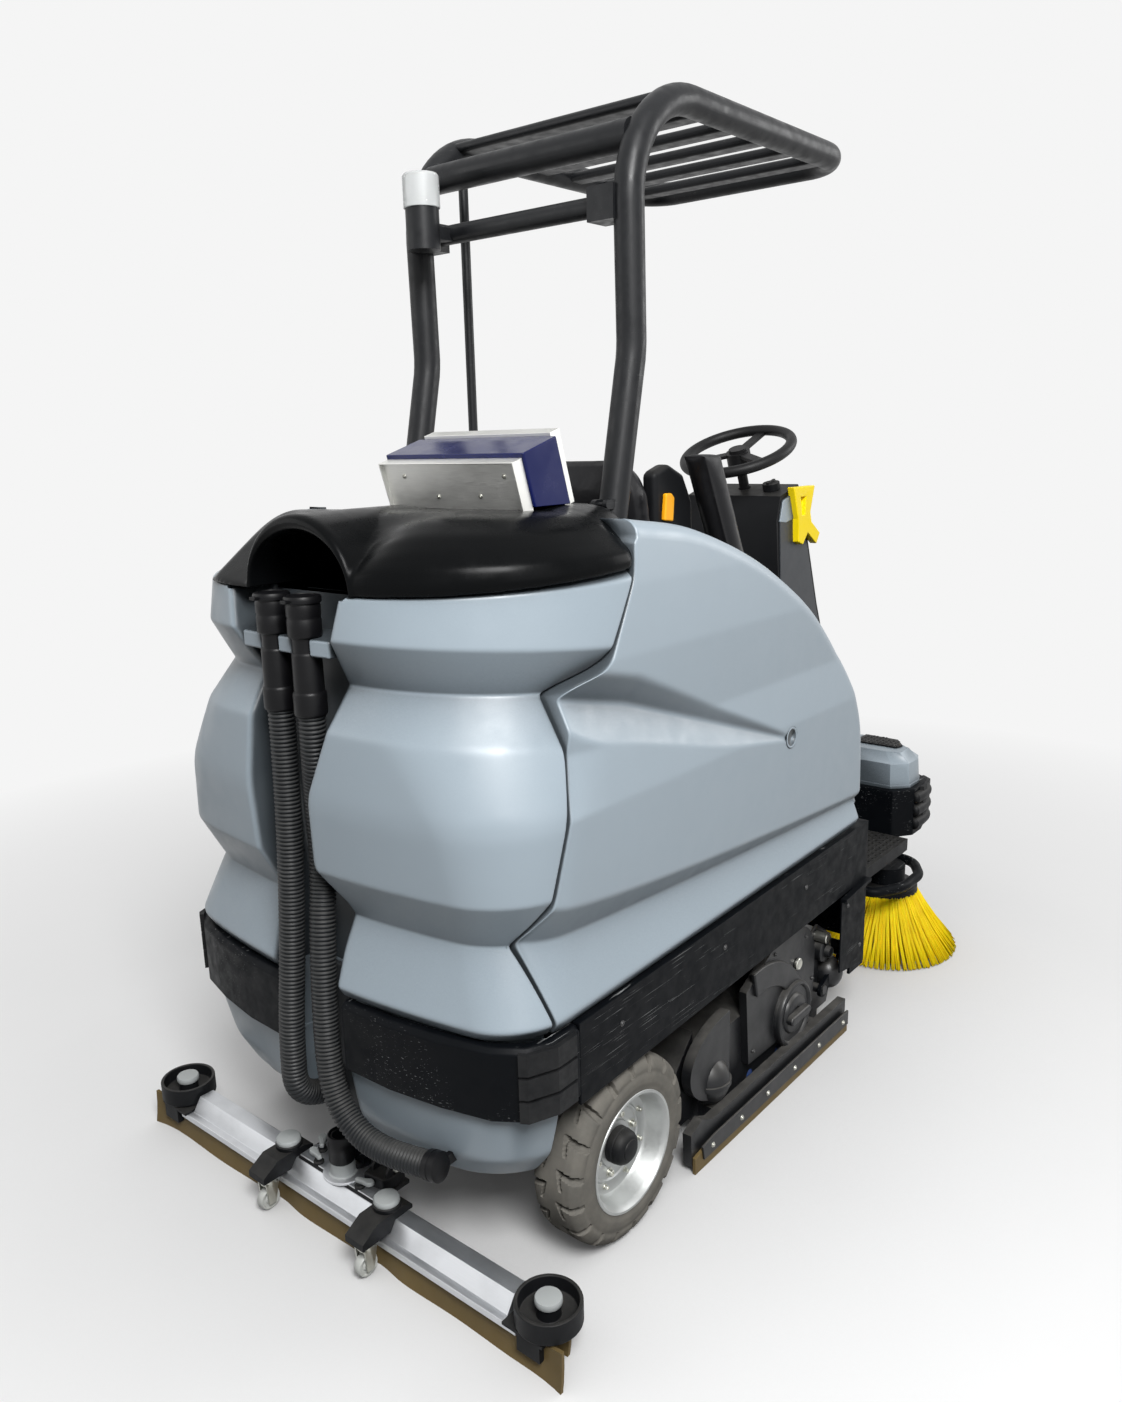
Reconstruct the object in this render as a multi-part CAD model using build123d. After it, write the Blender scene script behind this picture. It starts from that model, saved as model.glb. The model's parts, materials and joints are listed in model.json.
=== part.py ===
from build123d import *
import math
import os

# Ride-on floor scrubber. Millimetres, X to the machine's right, Y forward, Z up from the floor.
# The shapes are laid out with Y = 0 at the rear axle, and the export moves them so that the
# origin lies on the floor under the middle of the machine.

# Rear wheels: 15 x 4 1/2 - 8 solid tyres, which set the scale of the whole machine
TYRE_R = 190.0
TYRE_W = 115.0
WHEEL_OUT = 503.0
RIM_SEAT_R = 114.0
SPINDLE_R = 25.0
RUN_FIT = 0.05
RIM_BOLTS = 6
RIM_BOLT_PCD_R = 72.0

# Front drive wheel and its steered fork
FRONT_Y = 1340.0
FRONT_R = 140.0
FRONT_W = 90.0
FORK_PIN_R = 15.0
STEER_R = 30.0

# Chassis beams
BEAM_X = 290.0
BEAM_W = 50.0
BEAM_Z = (400.0, 480.0)
FRONT_BEAM_X = 200.0
FRONT_BEAM_Z = (290.0, 345.0)
BEAM_REAR = -195.0
DROP_Y = (1010.0, 1060.0)
BEAM_FRONT = 1700.0
TRAY_TOP = 484.0
BEARER_Y = (-150.0, -110.0)
OUTRIGGER_Y = (225.0, 925.0)

# Body shell: widest half width, rear face, rear bow and corner radius in plan
BODY_HALF = 507.0
BODY_REAR = -375.0
REAR_BOW_R = 1980.0
CORNER_R = 135.0
WALL = 8.0
TANK_FRONT = 185.0
TANK_BOTTOM = 552.0
RIM_Z = 1308.0
PANEL_IN = 345.0
PANEL_FRONT = 1022.0
SEAM_GAP = 7.0

# Crease levels of the rear shell: height at the rear, slope forwards in degrees, inset, corner radius
TANK_LEVELS = [
    (TANK_BOTTOM, 0, 16, 135),
    (572, 0, 4, 135),
    (705, 0, 50, 150),
    (797, 0, 6, 170),
    (930, 0, 0, 210),
    (1068, 5, 14, 310),
    (1150, 3.5, 62, 300),
    (1235, 4.5, 8, 390),
    (RIM_Z, 0, 16, 395),
]

# Seam between the tank and the side panels, as (Y, Z) from the bottom up
SEAM = [(-222, 520), (-222, 572), (-243, 712), (-210, 795), (-147, 1031), (-135, 1140),
        (-45, 1180), (35, 1318), (50, 1390), (60, 1480)]

# Top line of the side panels, as (Y, Z) from the lid forwards and down
ARCH = [(60, 1421), (260, 1390), (495, 1308), (701, 1194), (815, 1108), (902, 1020), (972, 908),
        (1004, 812), (PANEL_FRONT, 640)]
PANEL_HOLE = (606, 901, 14)

# Hose recess down the middle of the rear: height, left and right edge; the belly narrows it
RECESS_LEVELS = [(100, -105, 82), (640, -108, 78), (725, -112, 92), (797, -128, 36), (940, -136, 40),
                 (1068, -128, 90), (1150, -130, 104), (1236, -150, 124), (1330, -168, 150),
                 (1500, -168, 150)]
RECESS_Y = -262.0

# Side rail: top edge rises slowly towards the front
RAIL_X = (498.0, 506.0)
RAIL_Y = (-167.0, 1045.0)
RAIL_TOP_REAR = 548.0
RAIL_RISE = 0.0244
RAIL_FLANGE_IN = 430.0
RAIL_LEG_Y = 962.0

# Rear bumper halves, outer plan line from the recess round to the rail
BUMPER_OUT = [(94, -372), (215, -368), (330, -350), (430, -324), (485, -288), (507, -238), (507, -167)]
BUMPER_IN = [(482, -167), (482, -232), (464, -270), (418, -300), (325, -325), (213, -343), (94, -347)]
BUMPER_Z = (404.0, 545.0)
BUMPER_BEVEL = 10.0

# Ribbed rubber buffers on the bumper corners
BUFFER_RIBS = 3
BUFFER_GROOVE = 6.0

# Lower tank behind the wheels: height, inset, corner radius; and its middle part between the wheels
APRON_LEVELS = [(198, 100, 200), (238, 58, 180), (290, 34, 160), (362, 22, 145), (400, 18, 135),
                (402, 44, 135), (TANK_BOTTOM, 44, 135)]
APRON_FRONT = -205.0
MID_TANK_X = 240.0
MID_TANK_Z = 240.0
MID_TANK_FRONT = 180.0

# Lid on the tank, (height, inset) up the dome, and the hood over the hose ends
LID_LEVELS = [(1314, 30), (1332, 20), (1358, 24), (1384, 44), (1410, 78), (1432, 128), (1446, 200)]
LID_CORNER = 384.0
LID_SIDE_END = 25.0
LID_FRONT = 188.0
LID_NOSE_X = 405.0
# Sloping shoulder at the lid's rear left corner: direction in plan, then (distance along it, height)
SHOULDER_WAY = (0.555, 0.832)
SHOULDER = [(-500, 1226), (-300, 1428)]
SHOULDER_FALL = 0.085
HOOD_X = 34.0
HOOD_W = 150.0
HOOD_H = 134.0
HOOD_Y = (-352.0, -80.0)
HOOD_MOUTH = -190.0
HOOD_WALL = 16.0
LID_HINGE = (202.0, 1435.0)
HINGE_X = 290.0
HINGE_PIN_R = 4.0
KNUCKLE_R = 9.0

# Equipment box on the lid, leaning back
BOX_LEAN = 17.0
BOX_BASE = (136.0, 25.0, 1447.0)
CASING_SIZE = (360.0, 98.0, 112.0)
TRAY_SIZE = (350.0, 28.0, 104.0)
TRAY_WALL = 2.0
BOX_SINK = 24.0

# Drain hoses: ribbed, with black cuffs at the top
HOSE_CREST_R = 25.5
HOSE_ROOT_R = 22.5
HOSE_BORE_R = 19.0
HOSE_PITCH = 8.0
HOSE_LEFT = [(-54, -340, 1096), (-54, -340, 1000), (-50, -350, 800), (-50, -366, 600), (-50, -386, 430),
             (-50, -386, 270), (-50, -262, 270)]
HOSE_RIGHT = [(36, -340, 1096), (36, -340, 1020), (4, -346, 920), (6, -352, 780), (26, -362, 640),
              (38, -368, 440), (62, -378, 340), (118, -376, 280), (205, -366, 262), (300, -352, 276)]
CUFF = [(0, 1096), (31, 1096), (31, 1140), (27, 1144), (27, 1196), (30, 1204), (30, 1226), (27, 1230),
        (27, 1240), (31, 1246), (31, 1292), (34, 1292), (34, 1304), (0, 1304)]

# Suction motor inside the tank
TURBINE = (170.0, 60.0)

# Roof frame: bent tube, slats, cross bar, stay and beacon
ROOF_R = 30.0
ROOF_BORE = 27.0
POST_X = 290.0
POST_FOOT_Y = 235.0
ROOF_TOP = 2218.0
ROOF_FRONT = 1210.0
ROOF_BEND = 215.0
SLATS = 6
SLAT_SIZE = (58.0, 22.0)
CROSS_Z = 2002.0
CROSS_Y = 300.0
STAY = (-285.0, 447.0, 11.0)
BEACON = (-192.0, 222.0)
LENS_R = 39.0
LENS_Z = (2046.0, 2114.0)

# Seat and console
CONSOLE_X = 325.0
CONSOLE_TOP = 905.0
SEAT_HALF = 245.0
SEAT_Y = (405.0, 880.0)
SEAT_Z = (945.0, 1078.0)
BACK_PIVOT = (470.0, 1040.0)
BACK_LEAN = 9.0
BACK_Z = (1062.0, 1528.0)
ARM_PIVOT = (700.0, 1240.0)
ARM_LEAN = 26.0
ARM_X = (262.0, 326.0)
ARM_LENGTH = 330.0

# Steering and front end
WHEEL_CENTRE = (0.0, 1215.0, 1517.0)
WHEEL_R = 165.0
WHEEL_GRIP_R = 15.0
WHEEL_TILT = 22.0
TOWER_HALF = 150.0
TOWER = [(1240, 356), (1205, 1000), (1172, 1330), (1192, 1396), (1292, 1424), (1312, 1398), (1380, 1200),
         (1428, 1070), (1545, 800), (1600, 620), (1600, 604), (1560, 604), (1535, 495), (1535, 356)]
FLOOR_Z = (345.0, 356.0)
FLOOR_X = 420.0
FLOOR_Y = (1064.0, 1538.0)
NOSE = [(366, 1540), (410, 1600), (410, 1668), (396, 1728), (330, 1785)]
NOSE_Z = (345.0, 495.0)
CAP_Z = (505.0, 572.0, 602.0)
DIAL_X = 95.0
STOP_X = -95.0
PEDAL_X = (176.0, -256.0)
PEDAL_W = 80.0
PEDAL_HINGE = (1285.0, 374.0)

# Scrub deck, hung on two arms from the front legs of the side rails
DECK_X = 440.0
DECK_Y = (330.0, 915.0)
DECK_TOP = 233.0
DECK_PIVOT = (885.0, 150.0)
ARM_FRONT = (1010.0, 215.0)
PIN_R = 12.0
ROLLER_R = 53.0
ROLLER_Y = (560.0, 700.0)
FIN = (425.0, 195.0, 163.0, 100.0)
BELT_CAP = (720.0, 158.0, 84.0)
ROLLER_Z = 54.0
SKIRT_Y = (237.0, 975.0)
LIP_X = (492.0, 500.0)

# Side broom
BROOM = (350.0, 1550.0)
BROOM_HUB_R = 96.0
BROOM_R = 218.0
BROOM_HINGE = (1280.0, 250.0)
STRAND_RINGS = [(50, 96, 58), (64, 134, 76), (78, 176, 92), (92, BROOM_R, 108)]
STRAND_SIZE = 3.4
STRAND_TOP = 182.0
STRAND_TIP = 2.0

# Squeegee
BLADE_HALF = 625.0
RAIL_HALF = 520.0
RAIL_STEP = 490.0
SQUEEGEE_PROFILE = [(-380, 52), (-380, 66), (-366, 68), (-346, 98), (-312, 98), (-296, 74), (-296, 52)]
REAR_BLADE_Y = (-371.0, -364.0)
FRONT_BLADE_Y = (-311.0, -304.0)
SWING_Y = -285.0
LIFT_PIVOT = (-75.0, 133.0)
CLAMP_X = 155.0
KNOB_Y = -344.0
CASTER_Y = -402.0
CASTER_R = 25.0
CASTER_TRAIL = 4.0
DEFLECTOR = (558.0, -333.0)
DEFLECTOR_R = 61.0
DEFLECTOR_Z = (74.0, 116.0)
BRACKET_Z = (66.0, 72.0)
SUCTION_STUB = (-2.0, -324.0)


def span(x, y, z):
    """Box given by its low and high side along each axis."""
    size = [high - low for low, high in (x, y, z)]
    middle = [(high + low) / 2 for low, high in (x, y, z)]
    return Pos(*middle) * Box(*size)


def both_x(low, high):
    """The same X range on the right and on the left side."""
    return [(low, high), (-high, -low)]


def left_of(shape):
    """Mirror image on the machine's left side."""
    return mirror(shape, about=Plane.YZ)


def slab_x(points, x0, x1):
    """Outline of (Y, Z) points, extruded along X."""
    face = Plane.YZ.offset(x0) * make_face(Polyline(*points, close=True))
    return extrude(face, amount=x1 - x0, dir=(1, 0, 0))


def slab_y(points, y0, y1):
    """Outline of (X, Z) points, extruded along Y."""
    plane = Plane(origin=(0, y0, 0), x_dir=(1, 0, 0), z_dir=(0, -1, 0))
    return extrude(plane * make_face(Polyline(*points, close=True)), amount=y1 - y0, dir=(0, 1, 0))


def slab_z(points, z0, z1):
    """Outline of (X, Y) points, extruded along Z."""
    face = Plane.XY.offset(z0) * make_face(Polyline(*points, close=True))
    return extrude(face, amount=z1 - z0, dir=(0, 0, 1))


def turned_x(profile, y, z):
    """Profile of (X, radius) points turned about an axis along X."""
    return Pos(0, y, z) * revolve(make_face(Polyline(*profile, close=True)), Axis.X)


def turned_z(profile, x, y):
    """Profile of (radius, Z) points turned about an axis along Z."""
    return Pos(x, y, 0) * revolve(Plane.XZ * make_face(Polyline(*profile, close=True)), Axis.Z)


def rod(start, end, radius):
    """Round bar between two points."""
    line = Vector(*end) - Vector(*start)
    upright = (Align.CENTER, Align.CENTER, Align.MIN)
    return Plane(origin=start, z_dir=line) * Cylinder(radius, line.length, align=upright)


def bar_x(x0, x1, y, z, radius):
    """Round bar along X."""
    return rod((x0, y, z), (x1, y, z), radius)


def bent_tube(points, bends, radius, bore=0):
    """Tube along straight runs joined by arcs."""
    path = FilletPolyline(*points, radius=bends)
    ring = Circle(radius) - Circle(bore) if bore else Circle(radius)
    return sweep(Plane(origin=path @ 0, z_dir=path % 0) * ring, path=path)


def group(solids):
    """Separate solids that share one node."""
    return Compound(children=[solid for shape in solids for solid in shape.solids()])


def body_outline(inset, z, slope=0.0, corner=CORNER_R, front=TANK_FRONT):
    """Plan outline of the rear shell: bowed rear, round corners, straight sides."""
    half = BODY_HALF - inset
    rear = BODY_REAR + inset
    bow_centre = rear + REAR_BOW_R
    corner_x = half - corner
    corner_y = bow_centre - math.sqrt((REAR_BOW_R - corner) ** 2 - corner_x ** 2)
    reach = REAR_BOW_R / (REAR_BOW_R - corner)
    meet = (corner_x * reach, bow_centre + (corner_y - bow_centre) * reach)
    turn = math.atan2(meet[1] - corner_y, meet[0] - corner_x) / 2
    middle = (corner_x + corner * math.cos(turn), corner_y + corner * math.sin(turn))

    def flip(point):
        return (-point[0], point[1])

    side = (half, corner_y)
    end = (half, front)
    edges = [
        ThreePointArc(flip(meet), (0, rear), meet),
        ThreePointArc(meet, middle, side),
        Line(side, end),
        Line(end, flip(end)),
        Line(flip(end), flip(side)),
        ThreePointArc(flip(side), flip(middle), flip(meet)),
    ]
    tilt = math.radians(slope)
    plane = Plane(origin=(0, BODY_REAR, z), x_dir=(1, 0, 0), z_dir=(0, math.sin(tilt), math.cos(tilt)))
    return plane * Pos(0, -BODY_REAR) * make_face(edges)


def shell_loft(levels, extra=0.0, front=TANK_FRONT):
    """Rear shell through its crease levels."""
    faces = [body_outline(inset + extra, z, slope, corner, front) for z, slope, inset, corner in levels]
    return loft(faces, ruled=True)


def recess(grow=0.0):
    """Space that the hoses hang in."""
    floor = RECESS_Y + grow
    faces = []
    for z, low, high in RECESS_LEVELS:
        points = [(low - 8 - grow, -440), (high + 8 + grow, -440), (high - 8 + grow, floor),
                  (low + 8 - grow, floor)]
        faces.append(Pos(0, 0, z) * make_face(Polyline(*points, close=True)))
    return loft(faces, ruled=True)


def ahead_of_seam(shift, x0, x1):
    """Everything in front of the seam line, on one side."""
    line = [(y + shift, z) for y, z in SEAM]
    return slab_x(line + [(1300, SEAM[-1][1]), (1300, SEAM[0][1])], x0, x1)


def waste_tank():
    """Grey tank with two waists, open at the top under the lid."""
    outer = shell_loft(TANK_LEVELS)
    lowest, rim = TANK_LEVELS[0], TANK_LEVELS[-1]
    hollow_levels = [(lowest[0] + WALL, *lowest[1:])] + TANK_LEVELS[1:] + [(RIM_Z + 20, *rim[1:])]
    hollow = shell_loft(hollow_levels, WALL, TANK_FRONT - WALL) - recess(WALL)
    tank = outer - recess()
    for x0, x1 in both_x(PANEL_IN + SEAM_GAP, 600):
        tank -= ahead_of_seam(-SEAM_GAP, x0, x1)
    for x0, x1 in both_x(PANEL_IN + SEAM_GAP - WALL, 600):
        hollow -= ahead_of_seam(-SEAM_GAP - WALL, x0, x1)
    return tank - hollow


def side_x(inset, corner, y):
    """Half width of the rear shell's plan outline at one place along it."""
    half = BODY_HALF - inset
    corner_x = half - corner
    corner_y = BODY_REAR + inset + REAR_BOW_R - math.sqrt((REAR_BOW_R - corner) ** 2 - corner_x ** 2)
    behind = max(0.0, corner_y - y)
    return corner_x + math.sqrt(corner ** 2 - behind ** 2)


def seam_y(z):
    """Place of the seam line at one height."""
    for (y0, z0), (y1, z1) in zip(SEAM, SEAM[1:]):
        if z0 <= z <= z1:
            return y0 + (y1 - y0) * (z - z0) / (z1 - z0)
    return SEAM[-1][0]


def panel_section(y, skin):
    """Cross-section of a side panel, with its lower waist fading towards the front."""
    along = max(0.0, min(1.0, (y + 243) / (PANEL_FRONT + 243)))
    bottom = rail_top(y)
    waist = 712 + (646 - 712) * along ** 0.6
    crease = 795 + (664 - 795) * along ** 0.6
    depth = 50 + (22 - 50) * along
    edge = [(16, 135, bottom), (4, 135, bottom + 24), (depth, 150, waist), (6, 170, crease), (0, 210, 930),
            (14, 310, 1035), (8, 300, 1185), (16, 345, 1310), (30, 345, 1440)]
    outer = [(side_x(inset, corner, max(y, seam_y(z) - 15)) - skin, z) for inset, corner, z in edge]
    inner = PANEL_IN - 4 * skin
    outer[0] = (outer[0][0], bottom - 4 * skin)
    points = [(inner, bottom - 4 * skin)] + outer + [(inner, 1440)]
    plane = Plane(origin=(0, y, 0), x_dir=(1, 0, 0), z_dir=(0, -1, 0))
    return plane * make_face(Polyline(*points, close=True))


def rail_top(y):
    """Height of the side rail's top edge."""
    return RAIL_TOP_REAR + (y - RAIL_Y[0]) * RAIL_RISE


def panel_solid(skin):
    """Side panel as a filled body, drawn in by its skin thickness."""
    stations = (-300, -220, -150, -80, 0, 250, 620, PANEL_FRONT + 20)
    body = loft([panel_section(y, skin) for y in stations], ruled=True)
    first, last = ARCH[0], ARCH[-1]
    arch = Spline(*ARCH, tangents=[(1, -0.06), (0, -1)])
    frame = Polyline((last[0], last[1]), (last[0], 400), (-340, 400), (-340, first[1] + 4), first)
    face = Plane.YZ.offset(200) * make_face([*arch.edges(), *frame.edges()])
    under = extrude(face, amount=400, dir=(1, 0, 0))
    return body & Pos(0, -skin, -skin) * under


def scoop():
    """Tapering groove that carries the tank's upper waist into the side panel."""
    sections = [(-200, 1206, 1142, 445, 1040), (40, 1156, 1088, 456, 998), (300, 1058, 1001, 475, 947),
                (584, 910, 905, 500, 900)]
    faces = []
    for y, top, waist, x, low in sections:
        grow = (BODY_HALF + 50 - x) / (BODY_HALF - x)
        wide = [(x, waist), (BODY_HALF + 50, waist + (top - waist) * grow),
                (BODY_HALF + 50, waist + (low - waist) * grow)]
        plane = Plane(origin=(0, y, 0), x_dir=(1, 0, 0), z_dir=(0, -1, 0))
        faces.append(plane * make_face(Polyline(*wide, close=True)))
    return loft(faces, ruled=True)


def lid_outline(inset, z):
    """Plan outline of the lid: the tank's rear line, cut back at the front corners."""
    outline = body_outline(inset, z, 0.0, LID_CORNER - inset, LID_FRONT)
    half = BODY_HALF - inset
    for side in (1, -1):
        corner = [(side * (half + 1), LID_SIDE_END), (side * (half + 1), LID_FRONT + 1),
                  (side * (LID_NOSE_X - 0.4 * inset), LID_FRONT + 1)]
        outline -= Plane.XY.offset(z) * make_face(Polyline(*corner, close=True))
    return outline


def side_panel():
    """Right side panel: outer skin, arched top and the tapering groove."""
    groove = scoop()
    hollow = panel_solid(WALL) - Pos(-WALL - 2, 0, 0) * groove
    panel = (panel_solid(0) - groove - hollow) & ahead_of_seam(0, 300, 600)
    y, z, r = PANEL_HOLE
    panel -= bar_x(480, 520, y, z, r)
    panel -= extrude(lid_outline(LID_LEVELS[1][1] - 6, 1300), amount=200, dir=(0, 0, 1))
    return panel.solids().sort_by(SortBy.VOLUME)[-1]


def side_rails():
    """Steel side rails with a top flange, a front leg and the stub that the deck arm turns on."""
    y0, y1 = RAIL_Y
    plate = [(y0, rail_top(y0)), (y0, 384), (319, 404), (850, 413), (RAIL_LEG_Y, 416), (RAIL_LEG_Y, 172),
             (y1, 172), (y1, rail_top(y1))]
    flange = [(y0, rail_top(y0)), (y0, rail_top(y0) - 8), (y1, rail_top(y1) - 8), (y1, rail_top(y1))]
    rail = slab_x(plate, *RAIL_X) + slab_x(flange, RAIL_FLANGE_IN, RAIL_X[1])
    rail += bar_x(446, RAIL_X[0] + 2, *ARM_FRONT, PIN_R)
    return group([rail, left_of(rail)])


def chassis_frame():
    """Welded frame: beams, cross members, outriggers, battery tray, rear axle and broom lugs."""
    frame = rear_axle() + broom_bracket()
    rear_x = (BEAM_X - BEAM_W / 2, BEAM_X + BEAM_W / 2)
    front_x = (FRONT_BEAM_X - BEAM_W / 2, FRONT_BEAM_X + BEAM_W / 2)
    for x in both_x(*rear_x):
        frame += span(x, (BEAM_REAR, DROP_Y[0]), BEAM_Z) + span(x, BEARER_Y, (215, BEAM_Z[0]))
    for x in both_x(front_x[0], rear_x[1]):
        frame += span(x, DROP_Y, (FRONT_BEAM_Z[0], BEAM_Z[1]))
    for x in both_x(*front_x):
        frame += span(x, (DROP_Y[1], BEAM_FRONT), FRONT_BEAM_Z)
    for x in both_x(rear_x[1], RAIL_X[0]):
        for y in OUTRIGGER_Y:
            frame += span(x, (y, y + 30), (425, 475))
    inside = (-rear_x[0], rear_x[0])
    for y in ((200, 250), (960, 1010)):
        frame += span(inside, y, BEAM_Z)
    frame += span(inside, BEARER_Y, (215, MID_TANK_Z))
    inside = (-front_x[0], front_x[0])
    frame += span(inside, (1640, BEAM_FRONT), FRONT_BEAM_Z)
    frame += span(inside, (FRONT_Y - 70, FRONT_Y + 70), (302, FRONT_BEAM_Z[1]))
    frame += span((-rear_x[1], rear_x[1]), (270, 975), (BEAM_Z[1] - 2, TRAY_TOP))
    return frame - rod((0, FRONT_Y, 280), (0, FRONT_Y, 360), STEER_R + RUN_FIT)


def rear_axle():
    """Axle beam with spindles, hangers up to the beams and the squeegee arm's lugs."""
    axle = span((-378, 378), (-30, 30), (160, 220))
    for x in both_x(265, 315):
        axle += span(x, (-40, 40), (200, BEAM_Z[0]))
    axle += bar_x(-474, 474, 0, TYRE_R, SPINDLE_R)
    y, z = LIFT_PIVOT
    for x in both_x(40, 52):
        axle += span(x, (y - 18, -30), (z - 18, 200))
    return axle + bar_x(-45, 45, y, z, 10)


def broom_bracket():
    """Lugs under the right front beam, with the pin that the broom arm turns on."""
    y, z = BROOM_HINGE
    bracket = span((225, 350), (y - 25, y + 25), (285, FRONT_BEAM_Z[1]))
    for x0 in (255, 335):
        bracket += span((x0, x0 + 10), (y - 25, y + 25), (z - 25, 290))
    return bracket + bar_x(260, 340, y, z, PIN_R)


def rear_bumper():
    """Two black bumper halves with a bevelled top edge, a gap for the hoses between them."""
    half = slab_z(BUMPER_OUT + BUMPER_IN, *BUMPER_Z)
    middles = [((a[0] + b[0]) / 2, (a[1] + b[1]) / 2) for a, b in zip(BUMPER_OUT[:-1], BUMPER_OUT[1:])]

    def is_outer(edge):
        centre = edge.center()
        on_top = abs(centre.Z - BUMPER_Z[1]) < 0.01
        return on_top and any(math.dist((centre.X, centre.Y), middle) < 1 for middle in middles)

    outer = half.edges().filter_by(is_outer)
    half = chamfer(outer, BUMPER_BEVEL)
    return group([half, left_of(half)])


def ribbed_block(core, ribbed, z0, z1):
    """Rubber buffer: a core with ribs standing out of it."""
    block = slab_z(core, z0, z1)
    pitch = (z1 - z0 + BUFFER_GROOVE) / BUFFER_RIBS
    for rib in range(BUFFER_RIBS):
        low = z0 + rib * pitch
        block += slab_z(ribbed, low, low + pitch - BUFFER_GROOVE)
    return block


def corner_buffers():
    """Ribbed buffers on the two rear and the two front corners."""
    a, b, c = (474, -295.2), (485, -288), (507, -238)
    z0, z1 = BUMPER_Z
    rear = ribbed_block([a, (476.2, -298.5), (488, -291.5), (511, -239), (511, -187), (507, -184), c, b],
                        [a, (479.5, -303.6), (493.5, -295), (517, -240), (517, -188), (507, -180), c, b],
                        z0 + 6, z1 - 4)
    front = ribbed_block([(410, 1645), (415, 1648), (415, 1669), (401, 1731), (380, 1748), (396, 1728),
                          (410, 1668)],
                         [(410, 1640), (421, 1646), (421, 1670), (406, 1735), (376, 1759), (370, 1750.5),
                          (396, 1728), (410, 1668)], 372, 493)
    return group([rear, left_of(rear), front, left_of(front)])


def apron(extra, levels, front):
    """Rounded rear of the lower tank, cut off square behind the wheels."""
    bowl = loft([body_outline(inset + extra, z, 0.0, corner) for z, inset, corner in levels], ruled=True)
    return bowl & span((-600, 600), (-600, front), (0, 700))


def fresh_water_tank():
    """Lower grey tank: rounded apron under the bumper and a middle part between the wheels."""
    middle = span((-MID_TANK_X, MID_TANK_X), (APRON_FRONT - 30, MID_TANK_FRONT), (MID_TANK_Z, TANK_BOTTOM))
    tank = apron(0, APRON_LEVELS, APRON_FRONT) + middle - recess()
    lowest, highest = APRON_LEVELS[0], APRON_LEVELS[-1]
    hollow_levels = [(lowest[0] + WALL, *lowest[1:])] + APRON_LEVELS[1:-1]
    hollow_levels.append((TANK_BOTTOM + 9, *highest[1:]))
    hollow = apron(WALL, hollow_levels, APRON_FRONT - WALL)
    hollow += span((-MID_TANK_X + WALL, MID_TANK_X - WALL), (APRON_FRONT - 50, MID_TANK_FRONT - WALL),
                   (MID_TANK_Z + WALL, TANK_BOTTOM + 9))
    return tank - (hollow - recess(WALL))


def lid_dome(extra):
    """Dome of the lid, drawn in all round by its skin thickness."""
    dome = loft([lid_outline(inset + extra, z - extra) for z, inset in LID_LEVELS], ruled=True)
    return dome - shoulder(extra)


def shoulder(extra):
    """Wedge that slopes the lid's rear left corner."""
    x, y = SHOULDER_WAY
    plane = Plane(origin=(0, 0, 0), x_dir=(x, y, 0), z_dir=(y, -x, SHOULDER_FALL))
    slope = [(along + extra, z - extra) for along, z in SHOULDER]
    top = LID_LEVELS[-1][0] + 60
    outline = slope + [(slope[1][0], top), (slope[0][0], top)]
    return extrude(plane * make_face(Polyline(*outline, close=True)), amount=600, both=True)


def hood(shrink, y0, y1):
    """Arched tunnel over the hose ends."""
    plane = Plane(origin=(HOOD_X, y0, LID_LEVELS[0][0]), x_dir=(1, 0, 0), z_dir=(0, -1, 0))
    return extrude(plane * Ellipse(HOOD_W - shrink, HOOD_H - shrink), amount=y1 - y0, dir=(0, 1, 0))


def tank_lid():
    """Domed black lid, hollow underneath, with an arched hood over the hose ends and two hinge eyes."""
    above = span((-600, 600), (-500, 300), (LID_LEVELS[0][0], 1600))
    lid = lid_dome(0) + (hood(0, *HOOD_Y) & above)
    hollow = lid_dome(WALL) & span((-600, 600), (-600, LID_FRONT - WALL), (1200, 1600))
    hollow -= hood(HOOD_WALL - WALL, HOOD_Y[0] - 10, HOOD_MOUTH + WALL)
    lid = lid - hollow - hood(HOOD_WALL, HOOD_Y[0] - 10, HOOD_MOUTH)
    y, z = LID_HINGE
    for x in both_x(HINGE_X - 7, HINGE_X + 7):
        lid += span(x, (LID_FRONT - 10, y), (z - KNUCKLE_R, z + KNUCKLE_R)) + bar_x(*x, y, z, KNUCKLE_R)
    return lid - bar_x(-400, 400, y, z, HINGE_PIN_R + RUN_FIT)


def hinge_brackets():
    """Ears on the roof posts with the pins that the lid turns on."""
    y, z = LID_HINGE
    brackets = []
    for side in (1, -1):
        x = side * HINGE_X
        bracket = bar_x(x - 12, x + 12, y, z, HINGE_PIN_R)
        for x0 in (x - 20, x + 9):
            bracket += bar_x(x0, x0 + 11, y, z, KNUCKLE_R)
            bracket += span((x0, x0 + 11), (y, y + 40), (z - KNUCKLE_R, z + KNUCKLE_R))
        brackets.append(bracket)
    return brackets


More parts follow.
